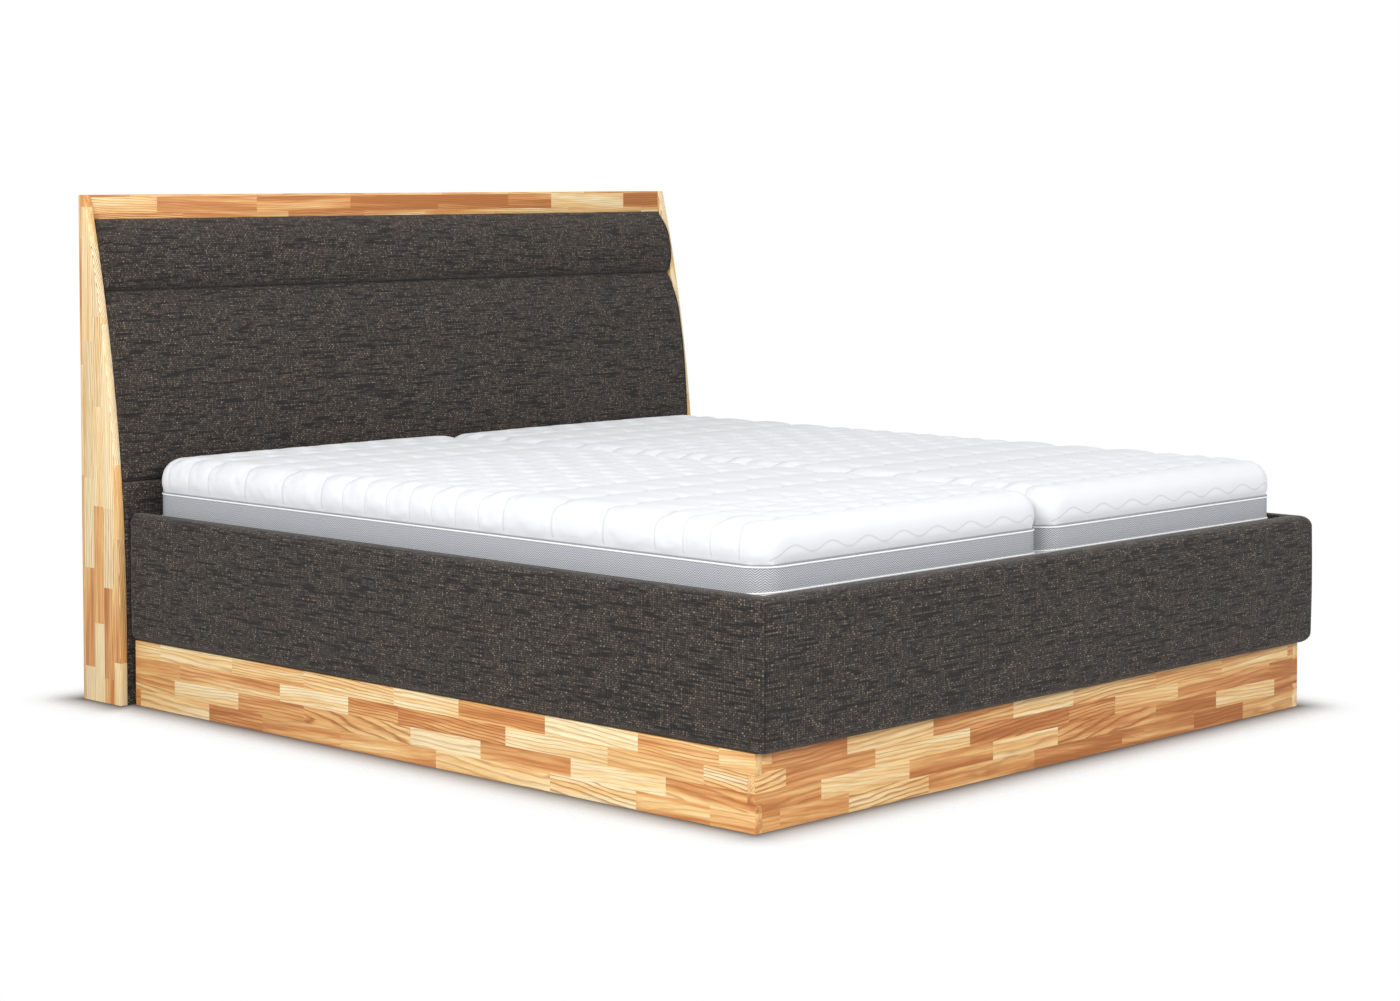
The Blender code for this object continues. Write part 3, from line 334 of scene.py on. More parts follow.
def oiled_staves(name, axes, shift, darker, contrast):
    """Staves that run along axes[0] and lie side by side along axes[1]."""
    wood = looks().staves
    material, add, shader = new_material(name, 0.46)
    board = board_place(add, axes, shift)
    cells = add("VectorMath", "MULTIPLY", (board, (1 / wood.length, 1 / wood.width, 1.0)))
    rows = add("VectorMath", "FLOOR", (cells,))
    row = add("VectorMath", "DOT_PRODUCT", (rows, ROW_DRAWS))
    along = add("SeparateXYZ", inputs=(board,))
    lane = add("Math", "MULTIPLY_ADD", (along, 1 / wood.length, row))
    # Butt joints fall at random, 150 to 450 mm apart
    lottery = add(
        "TexVoronoi", {"voronoi_dimensions": "1D"}, {"W": lane, "Scale": 1.0, "Randomness": 0.85}
    ).outputs["Color"]
    draws = add("SeparateColor", inputs=(lottery,)).outputs
    # Each stave comes from another place in the log, up to 140 mm from the pith, and is sawn a
    # few degrees off its axis, which draws the growth rings out into long pointed arches
    centred = add(
        "VectorMath", "MULTIPLY_ADD",
        (lottery, (0.0, SAW_SLOPE, SAW_SLOPE), (0.0, -SAW_SLOPE / 2, -SAW_SLOPE / 2)),
    )
    slope = add("VectorMath", "SCALE", {0: centred, "Scale": along})
    sawn = add("VectorMath", "ADD", (board, slope))
    log = add("VectorMath", "MULTIPLY_ADD", (lottery, LOG_REACH, sawn))
    bends = stretched_noise(add, log, BENDS, 3.0, 0.5).outputs["Color"]
    bent = add("VectorMath", "MULTIPLY_ADD", (bends, (0.0, BEND_REACH, BEND_REACH), log))
    rings = add(
        "TexWave", {"wave_type": "RINGS", "rings_direction": "X", "wave_profile": "SAW"},
        {"Vector": bent, "Scale": 2 * math.pi / WAVE_RADIANS / wood.ring_pitch, "Distortion": 0.0},
    ).outputs["Fac"]
    late = add("ValToRGB", inputs=(rings,), stops=[(k, grey(tone)) for k, tone in RING_TONES])
    fibre = stretched_noise(add, log, FIBRES, 2.0, 0.6)
    # Heartwood runs in streaks, so the tone drifts inside a stave
    streak = stretched_noise(add, log, STREAKS, 3.0, 0.6)
    drift = add("Math", "MULTIPLY_ADD", (streak, 2.0, 0.48 + darker - 1.0 - contrast / 2))
    shade = add(
        "Math", {"operation": "MULTIPLY_ADD", "use_clamp": True}, (draws[0], contrast, drift)
    )
    tones = (wood.sapwood, wood.cream, wood.honey, wood.amber, wood.heartwood)
    colours = add(
        "ValToRGB", inputs=(shade,),
        stops=[(k / (len(tones) - 1), tone) for k, tone in enumerate(tones)],
    )
    # A few staves have bold rings, and most have faint ones
    bold = add("Math", "MULTIPLY", (draws[2], draws[2]))
    strength = add("Math", "MULTIPLY_ADD", (bold, 0.60, 0.24))
    ring_share = add("Math", "MULTIPLY", (late, strength))
    fibre_share = add("MapRange", inputs=(fibre, 0.35, 0.75, 0.0, 0.30))
    mark = add("Math", {"operation": "ADD", "use_clamp": True}, (ring_share, fibre_share))
    coloured = add(
        "Mix", {"data_type": "RGBA"}, {0: mark, 6: colours, 7: (*wood.latewood, 1.0)}
    )
    rough = add("MapRange", inputs={0: ring_share, 3: 0.42, 4: 0.55})
    bump = add("Bump", inputs={"Strength": 0.2, "Distance": 0.3 * MM, "Height": fibre})
    set_inputs(shader, {"Base Color": coloured, "Roughness": rough, "Normal": bump})
    return material


# Planed spruce battens and plywood: raw and dry, so matt, with faint straight grain.
def raw_wood(name, axes, pale, dark, roughness, line_pitch, cross=None):
    """Unfinished wood whose grain runs along axes[0], with lines line_pitch apart.

    Where the distance from the bed's middle lies within cross, the grain runs across the bed."""
    material, add, shader = new_material(name, roughness)
    board = board_place(add, axes)
    if cross:
        across = board_place(add, (0, 1, 2))
        apart = add("Math", "ABSOLUTE", (add("SeparateXYZ", inputs=(across,)),))
        past = add("Math", "GREATER_THAN", (apart, cross[0]))
        short = add("Math", "LESS_THAN", (apart, cross[1]))
        inside = add("Math", "MULTIPLY", (past, short))
        board = add("Mix", {"data_type": "VECTOR"}, {0: inside, 4: board, 5: across})
    grain = stretched_noise(add, board, (0.8, 0.5 / line_pitch, 0.5 / line_pitch), 4.0, 0.62)
    colours = add("ValToRGB", inputs=(grain,), stops=((0.34, linear(dark)), (0.62, linear(pale))))
    bump = add("Bump", inputs={"Strength": 0.15, "Distance": 0.2 * MM, "Height": grain})
    set_inputs(shader, {"Base Color": colours, "Normal": bump})
    return material


# Upholstery cloth: spun polyester slub yarn in a coarse plain weave. Close up it is a grid of
# pale dots with dark gaps, and from afar a brown grey with short dark strokes along the weft.
# The real threads are 1.5 mm apart, too fine to show, so they are drawn three times as coarse.
# The numbers of a run are its bumps to the thread, along U and along V.
WEFT_RUN = (0.21, 0.83, 1.0)
WARP_RUN = (0.91, 0.19, 1.0)
SLUB_RUN = (0.085, 9.37, 1.0)
SLUB_DRAW = 7.3


def slub_weave(name):
    """Plain weave on a UV map in metres: U runs along the weft, V along the warp."""
    cloth = looks().cloth
    material, add, shader = new_material(name, 0.92)
    place = add("UVMap", {"uv_map": "weave"})
    threads = add("VectorMath", "SCALE", {0: place, "Scale": 1 / cloth.thread_pitch})
    # Threads wander by a third of their pitch over some 30 mm
    wander = add("TexNoise", inputs={"Vector": place, "Scale": 34.0, "Detail": 1.0})
    cells = add("VectorMath", "MULTIPLY_ADD", (wander.outputs["Color"], (0.5, 0.5, 0.0), threads))
    half_turns = add("VectorMath", "SCALE", {0: cells, "Scale": math.pi})
    rounds = add("VectorMath", "ABSOLUTE", (add("VectorMath", "SINE", (half_turns,)),))
    crown = add("Math", "MULTIPLY", add("SeparateXYZ", inputs=(rounds,)).outputs[:2])
    over = add("TexChecker", inputs={"Vector": cells, "Scale": 1.0}).outputs["Fac"]
    index = add("VectorMath", "FLOOR", (cells,))
    column, line = add("SeparateXYZ", inputs=(index,)).outputs[:2]
    along_weft, along_warp = add("SeparateXYZ", inputs=(cells,)).outputs[:2]
    # Yarns vary along their length, and each column and row of them has its own run
    yarns = [
        add("ValToRGB", inputs=(stretched_noise(
            add, add("CombineXYZ", inputs=thread), run, 2.0, 0.7
        ),), stops=stops)
        for thread, run, stops in (
            (
                (along_weft, line), WEFT_RUN,
                ((0.34, cloth.weft_dark), (0.50, cloth.weft_mid), (0.68, cloth.weft_pale)),
            ),
            (
                (column, along_warp), WARP_RUN,
                ((0.34, cloth.warp_dark), (0.50, cloth.warp_mid), (0.66, cloth.warp_pale)),
            ),
        )
    ]
    plain = add("Mix", {"data_type": "RGBA"}, {0: over, 6: yarns[0], 7: yarns[1]})
    # Dark slubs swell single weft threads for 20 to 60 mm and cover the warp there
    slub_place = add("CombineXYZ", inputs=(along_weft, line, SLUB_DRAW))
    slub = add(
        "ValToRGB", inputs=(stretched_noise(add, slub_place, SLUB_RUN, 1.0, 0.5),),
        stops=((0.36, cloth.slub), (0.45, grey(1.0))),
    )
    thread = add(
        "Mix", {"data_type": "RGBA", "blend_type": "MULTIPLY"}, {0: 1.0, 6: plain, 7: slub}
    )
    # Painted shade: a crossing is lit in its middle and darkens into the dark gap round it, where
    # shade falls, some deeper than others
    lit = add("MapRange", inputs=(crown, 0.06, 0.75, 0.06, 1.0))
    draw = add("TexWhiteNoise", {"noise_dimensions": "2D"}, {"Vector": index})
    crossing_depth_shade = add("MapRange", inputs={0: draw, 3: 0.22, 4: 1.0})
    painted_crossing_light = add("Math", "MULTIPLY", (lit, crossing_depth_shade))
    # The gap colour is painted shade between the threads.
    shaded = add("Mix", {"data_type": "RGBA"}, {0: painted_crossing_light, 6: (*cloth.gap, 1.0), 7: thread})
    bump = add("Bump", inputs={"Strength": 0.6, "Distance": 0.8 * MM, "Height": crown})
    set_inputs(shader, {"Base Color": shaded, "Normal": bump, "Sheen Weight": 0.12})
    return material


# Mattress ticking: white double jersey quilted to wadding. Matt and soft, with a thin grey
# sewing thread sunk in its lines. Its loops are finer than the render can show. The sewn lines
# end above the zip, where the cover is hemmed.
SEWN_END = (7 * MM, 9 * MM)


def quilted_jersey(name):
    """Jersey on a UV map whose V is whole on each sewn line."""
    soft = looks().mattress
    material, add, shader = new_material(name, 0.85)
    place = add("UVMap", {"uv_map": "quilt"})
    row = add("SeparateXYZ", inputs=(place,)).outputs["Y"]
    near = add("Math", "PINGPONG", (row, 0.5))
    spot = add("TexCoord").outputs["Object"]
    height = add("SeparateXYZ", inputs=(spot,)).outputs["Z"]
    hem = add(
        "MapRange", inputs=(height, *(soft.zip_height + rise for rise in SEWN_END), 0.5, 0.0)
    )
    open_line = add("Math", "MAXIMUM", (near, hem))
    sewn = add(
        "ValToRGB", inputs=(open_line,), stops=((0.008, soft.thread), (0.030, soft.jersey))
    )
    knit = add("TexNoise", inputs={"Vector": spot, "Scale": 420.0, "Detail": 2.0})
    bump = add("Bump", inputs={"Strength": 0.25, "Distance": 0.5 * MM, "Height": knit})
    set_inputs(shader, {"Base Color": sewn, "Normal": bump, "Sheen Weight": 0.1})
    return material


# Spacer mesh of the mattress border: grey polyester, knitted in fine slanting ribs that lean the
# other way every second column, with small open holes. The real ribs are 2 mm apart, too fine to
# show, so they are drawn 5 mm apart.
RIB_PITCH = 5 * MM
RIB_COLUMN = 9 * MM
RIB_SLANT = 0.9


def spacer_mesh(name):
    """Ribs on a UV map in metres."""
    soft = looks().mattress
    material, add, shader = new_material(name, 0.8)
    u, v = add("SeparateXYZ", inputs=(add("UVMap", {"uv_map": "weave"}),)).outputs[:2]
    fold = add("Math", "PINGPONG", (u, RIB_COLUMN))
    slant = add("Math", "MULTIPLY_ADD", (fold, RIB_SLANT, v))
    ribs = add("Math", "PINGPONG", (slant, RIB_PITCH / 2))
    share = add("MapRange", inputs=(ribs, 0.0, RIB_PITCH / 2))
    colours = add(
        "ValToRGB", inputs=(share,),
        stops=((0.1, soft.mesh_dark), (0.5, soft.mesh_mid), (0.85, soft.mesh_pale)),
    )
    bump = add("Bump", inputs={"Strength": 0.5, "Distance": 0.6 * MM, "Height": share})
    set_inputs(shader, {"Base Color": colours, "Normal": bump})
    return material


def mottled(name, colours, roughness, metallic, scale, relief=0.0):
    """A surface whose colour and sheen vary softly: the two colours, and noise at a scale."""
    material, add, shader = new_material(name, roughness, metallic)
    spot = add("TexCoord").outputs["Object"]
    cloud = add("TexNoise", inputs={"Vector": spot, "Scale": scale, "Detail": 3.0})
    tint = add("ValToRGB", inputs=(cloud,), stops=zip((0.35, 0.65), map(linear, colours)))
    rough = add("MapRange", inputs=(cloud, 0.3, 0.7, roughness * 0.8, roughness * 1.2))
    set_inputs(shader, {"Base Color": tint, "Roughness": rough})
    if relief:
        bump = add("Bump", inputs={"Strength": 0.3, "Distance": relief, "Height": cloud})
        set_inputs(shader, {"Normal": bump})
    return material


def material_named(name):
    """Each finish is made once, when the first piece asks for it."""
    if name in bpy.data.materials:
        return bpy.data.materials[name]
    frame_low, frame_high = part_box("slat_frame_right")
    cross = (frame_low.x + FRAME_RAIL_WIDTH, frame_high.x - FRAME_RAIL_WIDTH)
    spruce = ("#E9CFA2", "#D2AE77", 0.72, 5 * MM)
    birch = ("#E6D2B0", "#D3B78A", 0.62, 14 * MM)
    makers = {
        "oiled ash staves upright": (oiled_staves, (2, 1, 0), (0.29, 0.0011, 2.5), -0.46, 1.35),
        "oiled ash staves across": (oiled_staves, (0, 2, 1), (0.0, -0.0005, 0.5), 0.14, 0.75),
        "oiled ash staves lengthwise": (oiled_staves, (1, 2, 0), (0.07, 0.0, 0.5), -0.06, 0.8),
        "sawn spruce lengthwise": (raw_wood, (1, 0, 2), *spruce),
        "sawn spruce across": (raw_wood, (0, 1, 2), *spruce),
        "sawn spruce frame": (raw_wood, (1, 0, 2), *spruce, cross),
        "birch plywood upright": (raw_wood, (2, 0, 1), *birch),
        "birch plywood lengthwise": (raw_wood, (1, 0, 2), *birch),
        "birch plywood across": (raw_wood, (0, 1, 2), *birch),
        # Beech veneers glued up into a springy slat
        "beech slat ply": (raw_wood, (0, 1, 2), "#DDB98C", "#C3966A", 0.5, 4 * MM),
        "slub weave": (slub_weave,),
        "quilted jersey": (quilted_jersey,),
        "spacer mesh": (spacer_mesh,),
        # Woven polyester tape that hides the zip
        "grey zip tape": (mottled, ("#8D9095", "#9A9DA2"), 0.8, 0.0, 500.0),
        # Plain white jersey under the border and over the pipings
        "white jersey": (mottled, ("#EEEFF0", "#F5F6F6"), 0.85, 0.0, 300.0, 0.3 * MM),
        # Injection-moulded polypropylene holders: near black, half matt
        "black polypropylene": (mottled, ("#1B1B1C", "#242425"), 0.5, 0.0, 180.0),
        # Pressed steel, zinc plated: bluish, with a soft spangle
        "zinc plated steel": (mottled, ("#B9BCC0", "#CDD0D3"), 0.36, 1.0, 60.0),
        # Steel tube, powder coated in black
        "black powder coat": (mottled, ("#161617", "#1F1F20"), 0.42, 0.0, 400.0, 0.1 * MM),
        # Piston rod, ground and hard chromed
        "hard chrome": (mottled, ("#C6C8CA", "#D2D4D6"), 0.12, 1.0, 30.0),
    }
    maker, *values = makers[name]
    return maker(name, *values)


def new_object(name, shape):
    """Put a shape into the scene."""
    mesh = bpy.data.meshes.new(name)
    shape.to_mesh(mesh)
    shape.free()
    made = bpy.data.objects.new(name, mesh)
    bpy.context.scene.collection.objects.link(made)
    return made


def finish(name, shape, material, like, replaced=(), sharp=40.0):
    """Turn a shape into a piece on the body of the node that it is like."""
    bmesh.ops.recalc_face_normals(shape, faces=shape.faces)
    piece = new_object(name, shape)
    piece.data.shade_smooth()
    piece.data.set_sharp_from_angle(angle=math.radians(sharp))
    piece.data.materials.append(material_named(material))
    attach(piece, NODES[like]["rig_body"])
    if replaced:
        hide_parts(*replaced)
    return piece


def node_shape(node):
    """A copy of a node's shape with whole flat faces."""
    shape = bmesh.new()
    shape.from_mesh(NODES[node].data)
    bmesh.ops.remove_doubles(shape, verts=shape.verts, dist=0.01 * MM)
    bmesh.ops.dissolve_limit(
        shape, angle_limit=math.radians(0.3), verts=shape.verts, edges=shape.edges
    )
    return shape


def ease(shape, edges, radius, segments, clamped=False):
    """Round off edges of a shape."""
    bmesh.ops.bevel(
        shape, geom=edges, offset=radius, segments=segments, profile=0.5, affect="EDGES",
        clamp_overlap=clamped, material=-1,
    )


def ease_sharp(shape, degrees, radius, segments):
    """Round off the edges where a shape turns by more than an angle."""
    shape.normal_update()
    least = math.radians(degrees)
    edges = [e for e in shape.edges if e.is_manifold and e.calc_face_angle() > least]
    ease(shape, edges, radius, segments, clamped=True)


def eased_copy(node, material, radius, segments=2):
    """The node's own shape with its sharp edges eased."""
    shape = node_shape(node)
    ease_sharp(shape, 30, radius, segments)
    return finish("looks_" + node, shape, material, node, (node,), sharp=32.0)


def spread(start, end, step, fine=(), fine_end=()):
    """Stations from start to end about a step apart, with finer distances near either end."""
    first = start + (fine[-1] if fine else 0.0)
    last = end - (fine_end[-1] if fine_end else 0.0)
    count = max(1, round((last - first) / step))
    middle = [first + (last - first) * k / count for k in range(count + 1)]
    head = [start + d for d in fine[:-1]]
    tail = [end - d for d in reversed(fine_end[:-1])]
    return head + middle + tail


def running_lengths(points):
    """How far a chain of points has run at each of them."""
    lengths = [0.0]
    for a, b in zip(points, points[1:]):
        lengths.append(lengths[-1] + math.dist(a, b))
    return lengths


def curve_through(points, step):
    """Even points along a smooth curve through the given ones, with their arc lengths."""
    points = [Vector(p) for p in points]
    ends = [points[0] * 2 - points[1], *points, points[-1] * 2 - points[-2]]
    dense = []
    for a, b, c, d in zip(ends, ends[1:], ends[2:], ends[3:]):
        for k in range(16):
            t = k / 16
            dense.append(0.5 * (
                2 * b + (c - a) * t + (2 * a - 5 * b + 4 * c - d) * t ** 2
                + (3 * b - a - 3 * c + d) * t ** 3
            ))
    dense.append(points[-1])
    lengths = running_lengths(dense)
    count = max(2, round(lengths[-1] / step))
    stations = [lengths[-1] * k / count for k in range(count + 1)]
    axes = range(len(points[0]))
    rows = [np.interp(stations, lengths, [p[axis] for p in dense]) for axis in axes]
    return [Vector(p) for p in zip(*rows)], stations


def lay_map(shape, name, place):
    """Add a UV map: place gives the UV of a vertex on a face with a given normal."""
    layer = shape.loops.layers.uv.new(name)
    for face in shape.faces:
        for loop in face.loops:
            loop[layer].uv = place(loop.vert, face.normal)


def cloth_grid(columns, rows, place, weave):
    """A grid of cloth: place gives a point and weave its UV, both from a column and a row."""
    shape = bmesh.new()
    bmesh.ops.create_grid(shape, x_segments=columns, y_segments=rows, size=0.5)
    spots = {
        v: (round((v.co.x + 0.5) * columns), round((v.co.y + 0.5) * rows)) for v in shape.verts
    }
    lay_map(shape, "weave", lambda vert, _: weave(*spots[vert]))
    for vert, spot in spots.items():
        vert.co = place(*spot)
    return shape


def inflate(piece, pins, pressure, frames, cap, slack):
    """Let a closed piece swell as cloth under pressure, its pins held, and keep the result."""
    scene = bpy.context.scene
    group = piece.vertex_groups.new(name="pins")
    group.add(pins, 1.0, "REPLACE")
    swell = piece.modifiers.new("swell", "CLOTH")
    swell.settings.use_pressure = True
    swell.settings.uniform_pressure_force = pressure
    swell.settings.vertex_group_mass = "pins"
    swell.settings.shrink_min = -slack
    swell.settings.quality = 4
    swell.settings.effector_weights.gravity = 0.0
    swell.point_cache.frame_start = 1
    swell.point_cache.frame_end = frames
    for number in range(1, frames + 1):
        scene.frame_set(number)
    settled = piece.evaluated_get(bpy.context.evaluated_depsgraph_get()).to_mesh()
    before = np.zeros(len(piece.data.vertices) * 3)
    after = np.zeros_like(before)
    piece.data.vertices.foreach_get("co", before)
    settled.vertices.foreach_get("co", after)
    step = (after - before).reshape(-1, 3)
    length = np.linalg.norm(step, axis=1, keepdims=True)
    held = step * np.minimum(1.0, cap / np.maximum(length, 1e-9))
    piece.modifiers.remove(swell)
    piece.vertex_groups.clear()
    piece.data.vertices.foreach_set("co", before + held.reshape(-1))
    piece.data.update()
    scene.frame_set(1)


def pad_profile(node):
    """Front of a headboard pad as (y, z) points from its foot to its top."""
    front = {}
    for vert in NODES[node].data.vertices:
        level = round(vert.co.z, 4)
        front[level] = min(front.get(level, 9.0), vert.co.y)
    points = [(y, z) for z, y in sorted(front.items())]
    if node == "headboard_bolster":
        points[-1] = (points[-1][0], points[-1][1] + looks().pads.bolster_rise)
    return points


def make_pad(node):
    """Bolster or cushion: a smooth crowned face with a rounded boxed edge at either end."""
    pads = looks().pads
    low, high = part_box(node)
    rows, arcs = curve_through(pad_profile(node), CELL)
    seam = pads.seam_inset
    steps = (
        0.0, 1.5 * MM, 4 * MM, 8 * MM, seam - SEAM_GROOVE, seam, seam + SEAM_GROOVE,
        seam + 6 * MM, 2 * seam,
    )
    stations = spread(low.x, high.x, CELL, steps, steps)
    normals = []
    for index in range(len(rows)):
        before, after = rows[max(0, index - 1)], rows[min(len(rows) - 1, index + 1)]
        run = (after - before).normalized()
        normals.append(Vector((0.0, -run.y, run.x)))

    drops = []
    for x in stations:
        from_end = min(x - low.x, high.x - x)
        away = max(0.0, 1 - from_end / pads.end_radius)
        groove = max(0.0, 1 - abs(from_end - seam) / SEAM_GROOVE)
        rounding = 1 - math.sqrt(max(0.0, 1 - away ** END_ROUNDNESS))
        drops.append(pads.end_drop * rounding + pads.seam_depth * groove)
    across = [low.x + run for run in running_lengths(list(zip(stations, drops)))]

    def place(column, row):
        x = stations[column]
        y, z = rows[row]
        soft = PAD_SWELLS * noise.noise(Vector((x * 3.1, z * 7.0, 4.2)))
        hem = min(1.0, min(arcs[row], arcs[-1] - arcs[row]) / PAD_HEM)
        tuck = PAD_TUCK * (1 - math.sqrt(1 - (1 - hem) ** 2))
        inward = max(drops[column], tuck) - soft * hem
        way = (normals[row] * hem + Vector((0.0, -1.0, 0.0)) * (1 - hem)).normalized()
        return Vector((x, y, z)) - way * inward

    shape = cloth_grid(
        len(stations) - 1, len(rows) - 1, place, lambda c, r: (across[c], arcs[r])
    )
    shape.normal_update()
    rim = [e for e in shape.edges if e.is_boundary]
    back = [item for item in bmesh.ops.extrude_edge_only(shape, edges=rim)["geom"]
            if isinstance(item, bmesh.types.BMVert)]
    top_back = max(v.co.y for v in NODES[node].data.vertices if v.co.z > high.z - 1 * MM)
    foot_back = max(v.co.y for v in NODES[node].data.vertices if v.co.z < low.z + 1 * MM)
    for vert in back:
        share = min(1.0, (vert.co.z - low.z) / (high.z - low.z))
        vert.co.y = foot_back + (top_back - foot_back) * share - 0.3 * MM
    bmesh.ops.holes_fill(shape, edges=[e for e in shape.edges if e.is_boundary])
    return finish("looks_" + node, shape, "slub weave", node, (node,), 60.0)


def rail_section():
    """Loop round a rail's cover: (out from the inner face, up), from lip to lip and back."""
    low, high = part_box("foot_rail_cover")
    height = high.z - low.z
    face = high.y - low.y - RAIL_BULGE
    edge = looks().pads.rail_edge
    points = [(RAIL_POCKET, RAIL_LIP), (0.5 * MM, RAIL_LIP), (0.0, RAIL_LIP_EDGE)]
    points += [
        (RAIL_LIP_EDGE * (1 - math.cos(a)), RAIL_LIP_EDGE * (1 - math.sin(a)))
        for a in (math.pi / 6, math.pi / 3, math.pi / 2)
    ]
    points += [(RAIL_LIP_EDGE + (face - edge - RAIL_LIP_EDGE) * k / 3, 0.0) for k in (1, 2)]
    for k in range(9):
        a = math.pi / 2 * k / 8
        points.append((face - edge * (1 - math.sin(a)), edge * (1 - math.cos(a))))
    count = round((height / 2 - edge) / CELL)
    for k in range(1, count + 1):
        share = k / count
        up = edge + (height / 2 - edge) * share
        points.append((face + RAIL_BULGE * math.sin(math.pi / 2 * share), up))
    mirrored = [(out, height - up) for out, up in reversed(points[:-1])]
    return points + mirrored, low.z


def make_rail(node, along, sign):
    """Padded rail cover: along is 1 for a side rail and 0 for the foot rail."""
    section, foot = rail_section()
    pads = looks().pads
    side_low, side_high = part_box("side_rail_right_cover")
    inner_x = side_low.x
    inner_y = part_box("foot_rail_cover")[1].y
    widest = max(out for out, up in section)
    tallest = max(up for out, up in section)
    loop = section + [section[0]]
    arcs = running_lengths(loop)
    fine = (0.0, 1.2 * MM, 2.6 * MM, 4.5 * MM, 7 * MM, 11 * MM, 17 * MM)
    total = side_high.y - inner_y if along else 2 * inner_x
    stations = spread(0.0, total, RAIL_CELL, fine, fine)

    def place(column, row):
        out, up = loop[row % len(section)]
        distance = stations[column]
        ends = [distance] if along else [distance, total - distance]
        draw = sum((1 - min(1.0, d / SEAM_REACH)) ** 2 for d in ends) * SEAM_DRAW
        outer = max(0.0, out - RAIL_POCKET) / (widest - RAIL_POCKET)
        out_now = out - draw * outer
        inward = 1 if up < pads.rail_edge else -1 if up > tallest - pads.rail_edge else 0
        level = foot + up + draw * outer * inward
        draws = Vector((distance * 5.0, up * 9.0, 2.0 + 7 * along + sign))
        out_now += RAIL_SWELLS * noise.noise(draws) * outer
        if not along:
            x = (distance / total - 0.5) * 2 * (inner_x + out - RAIL_GAP)
            return Vector((x, inner_y - out_now, level))
        start = inner_y - out + RAIL_GAP
        end = side_high.y
        y = start + (end - start) * distance / total
        near = max(0.0, 1 - (end - y) / pads.rail_end)
        drawn = pads.rail_end * (1 - math.sqrt(max(0.0, 1 - near ** 2))) * outer
        return Vector((sign * (inner_x + out_now - drawn), y, level))

    def weave(column, row):
        return (stations[column] + 3.0 * along + sign, arcs[row] + 0.37)

    shape = cloth_grid(len(stations) - 1, len(section), place, weave)
    bmesh.ops.remove_doubles(shape, verts=shape.verts, dist=0.01 * MM)
    bmesh.ops.holes_fill(shape, edges=[e for e in shape.edges if e.is_boundary])
    return finish("looks_" + node, shape, "slub weave", node, (node,), 60.0)


def make_base_panel():
    """Upholstered panel below the cushion, with soft upper corners."""
    node = "headboard_base_panel"
    shape = node_shape(node)
    ease_sharp(shape, 50, 2 * MM, 3)
    lay_map(shape, "weave", lambda vert, way: (
        vert.co.y if abs(way.x) > 0.7 else vert.co.x,
        vert.co.y if abs(way.z) > 0.7 else vert.co.z,
    ))
    return finish("looks_" + node, shape, "slub weave", node, (node,), 40.0)


# Sewn lines: down a side they lose most of their wave and lean towards the head
SIDE_REACH = 0.05
SIDE_WAVE_LOSS = 0.85
SIDE_LEAN = 10 * MM
LEAN_REACH = 0.11
# Puffs: fuller where their two lines swing apart or lie apart, and dented in tufts
PUFF_POWER = 0.62
SWING_FULLNESS = 0.16
WIDTH_FULLNESS = 0.28
FULL_WIDTH = 0.1
TUFT_FLATTENING = 0.25
TUFT_DEPTH = 0.22
TUFT_HALF_WIDTH = 0.28
# The crown and the puffs rise above the blank of a cover. The puffs lose height down its sides,
# and most of it at the ends and on the side that meets the other mattress.
BLANK_DROP = 7 * MM
CROWN_RISE = 3 * MM
CROWN_HALF_WIDTH = 0.45
MEAN_RELIEF = 0.55
DEPTH_REACH = 0.06
END_FLATTENING = 0.45
JOINT_FLATTENING = 0.7
JOINT_REACH = 0.03
SEWN_HALF_WIDTH = 2.5 * MM
HELD_FOOT = 8 * MM
HEM_EDGE = 2 * MM
HEM_START = 4 * MM
HEM_HEIGHT = 14 * MM
HEM_DRAW = 2 * MM


def smooth_share(share):
    share = np.clip(share, 0.0, 1.0)
    return share * share * (3 - 2 * share)


def unrolled(points, low, high, top):
    """Where points of the cover lie once it is flattened, and their outward directions."""
    roll, corner = looks().mattress.roll, looks().mattress.corner
    inset = np.array([corner, corner])
    core = np.clip(points[:, :2], np.array(low[:2]) + inset, np.array(high[:2]) - inset)
    out = points[:, :2] - core
    rho = np.linalg.norm(out, axis=1)
    way = out / np.maximum(rho, 1e-9)[:, None]
    start = corner - roll
    rise = points[:, 2] - (top - roll)
    angle = np.where(
        rise > 0, np.arctan2(np.maximum(rho - start, 0.0), np.maximum(rise, 1e-9)), math.pi / 2
    )
    arc = np.where(rho > start, roll * angle, 0.0) + np.where(rise < 0, -rise, 0.0)
    flat = core + way * (np.minimum(rho, start) + arc)[:, None]
    upward = np.cos(np.where(rho > start, angle, 0.0))
    normal = np.column_stack([way * np.sin(np.where(rho > start, angle, 0.0))[:, None], upward])
    return flat, arc, way, normal


def quilt_rows(flat, arc, way, middle):
    """Row number across the quilting (whole on a sewn line), and the wave's phase."""
    soft = looks().mattress
    side = np.abs(way[:, 0]) * smooth_share(arc / SIDE_REACH)
    lean = SIDE_LEAN * smooth_share(arc / LEAN_REACH) * side
    row = np.interp(flat[:, 1] + lean, SEWN_ROWS, range(len(SEWN_ROWS)))
    index = np.clip(np.floor(row).astype(int), 0, len(SEWN_ROWS) - 2)
    pitch = np.diff(SEWN_ROWS)[index]
    turn = 2 * math.pi * (flat[:, 0] - middle) / soft.wave_period
    swing = soft.wave_swing * (1 - SIDE_WAVE_LOSS * side) / pitch
    return row - swing * np.sin(turn) * np.cos(math.pi * row), turn, pitch


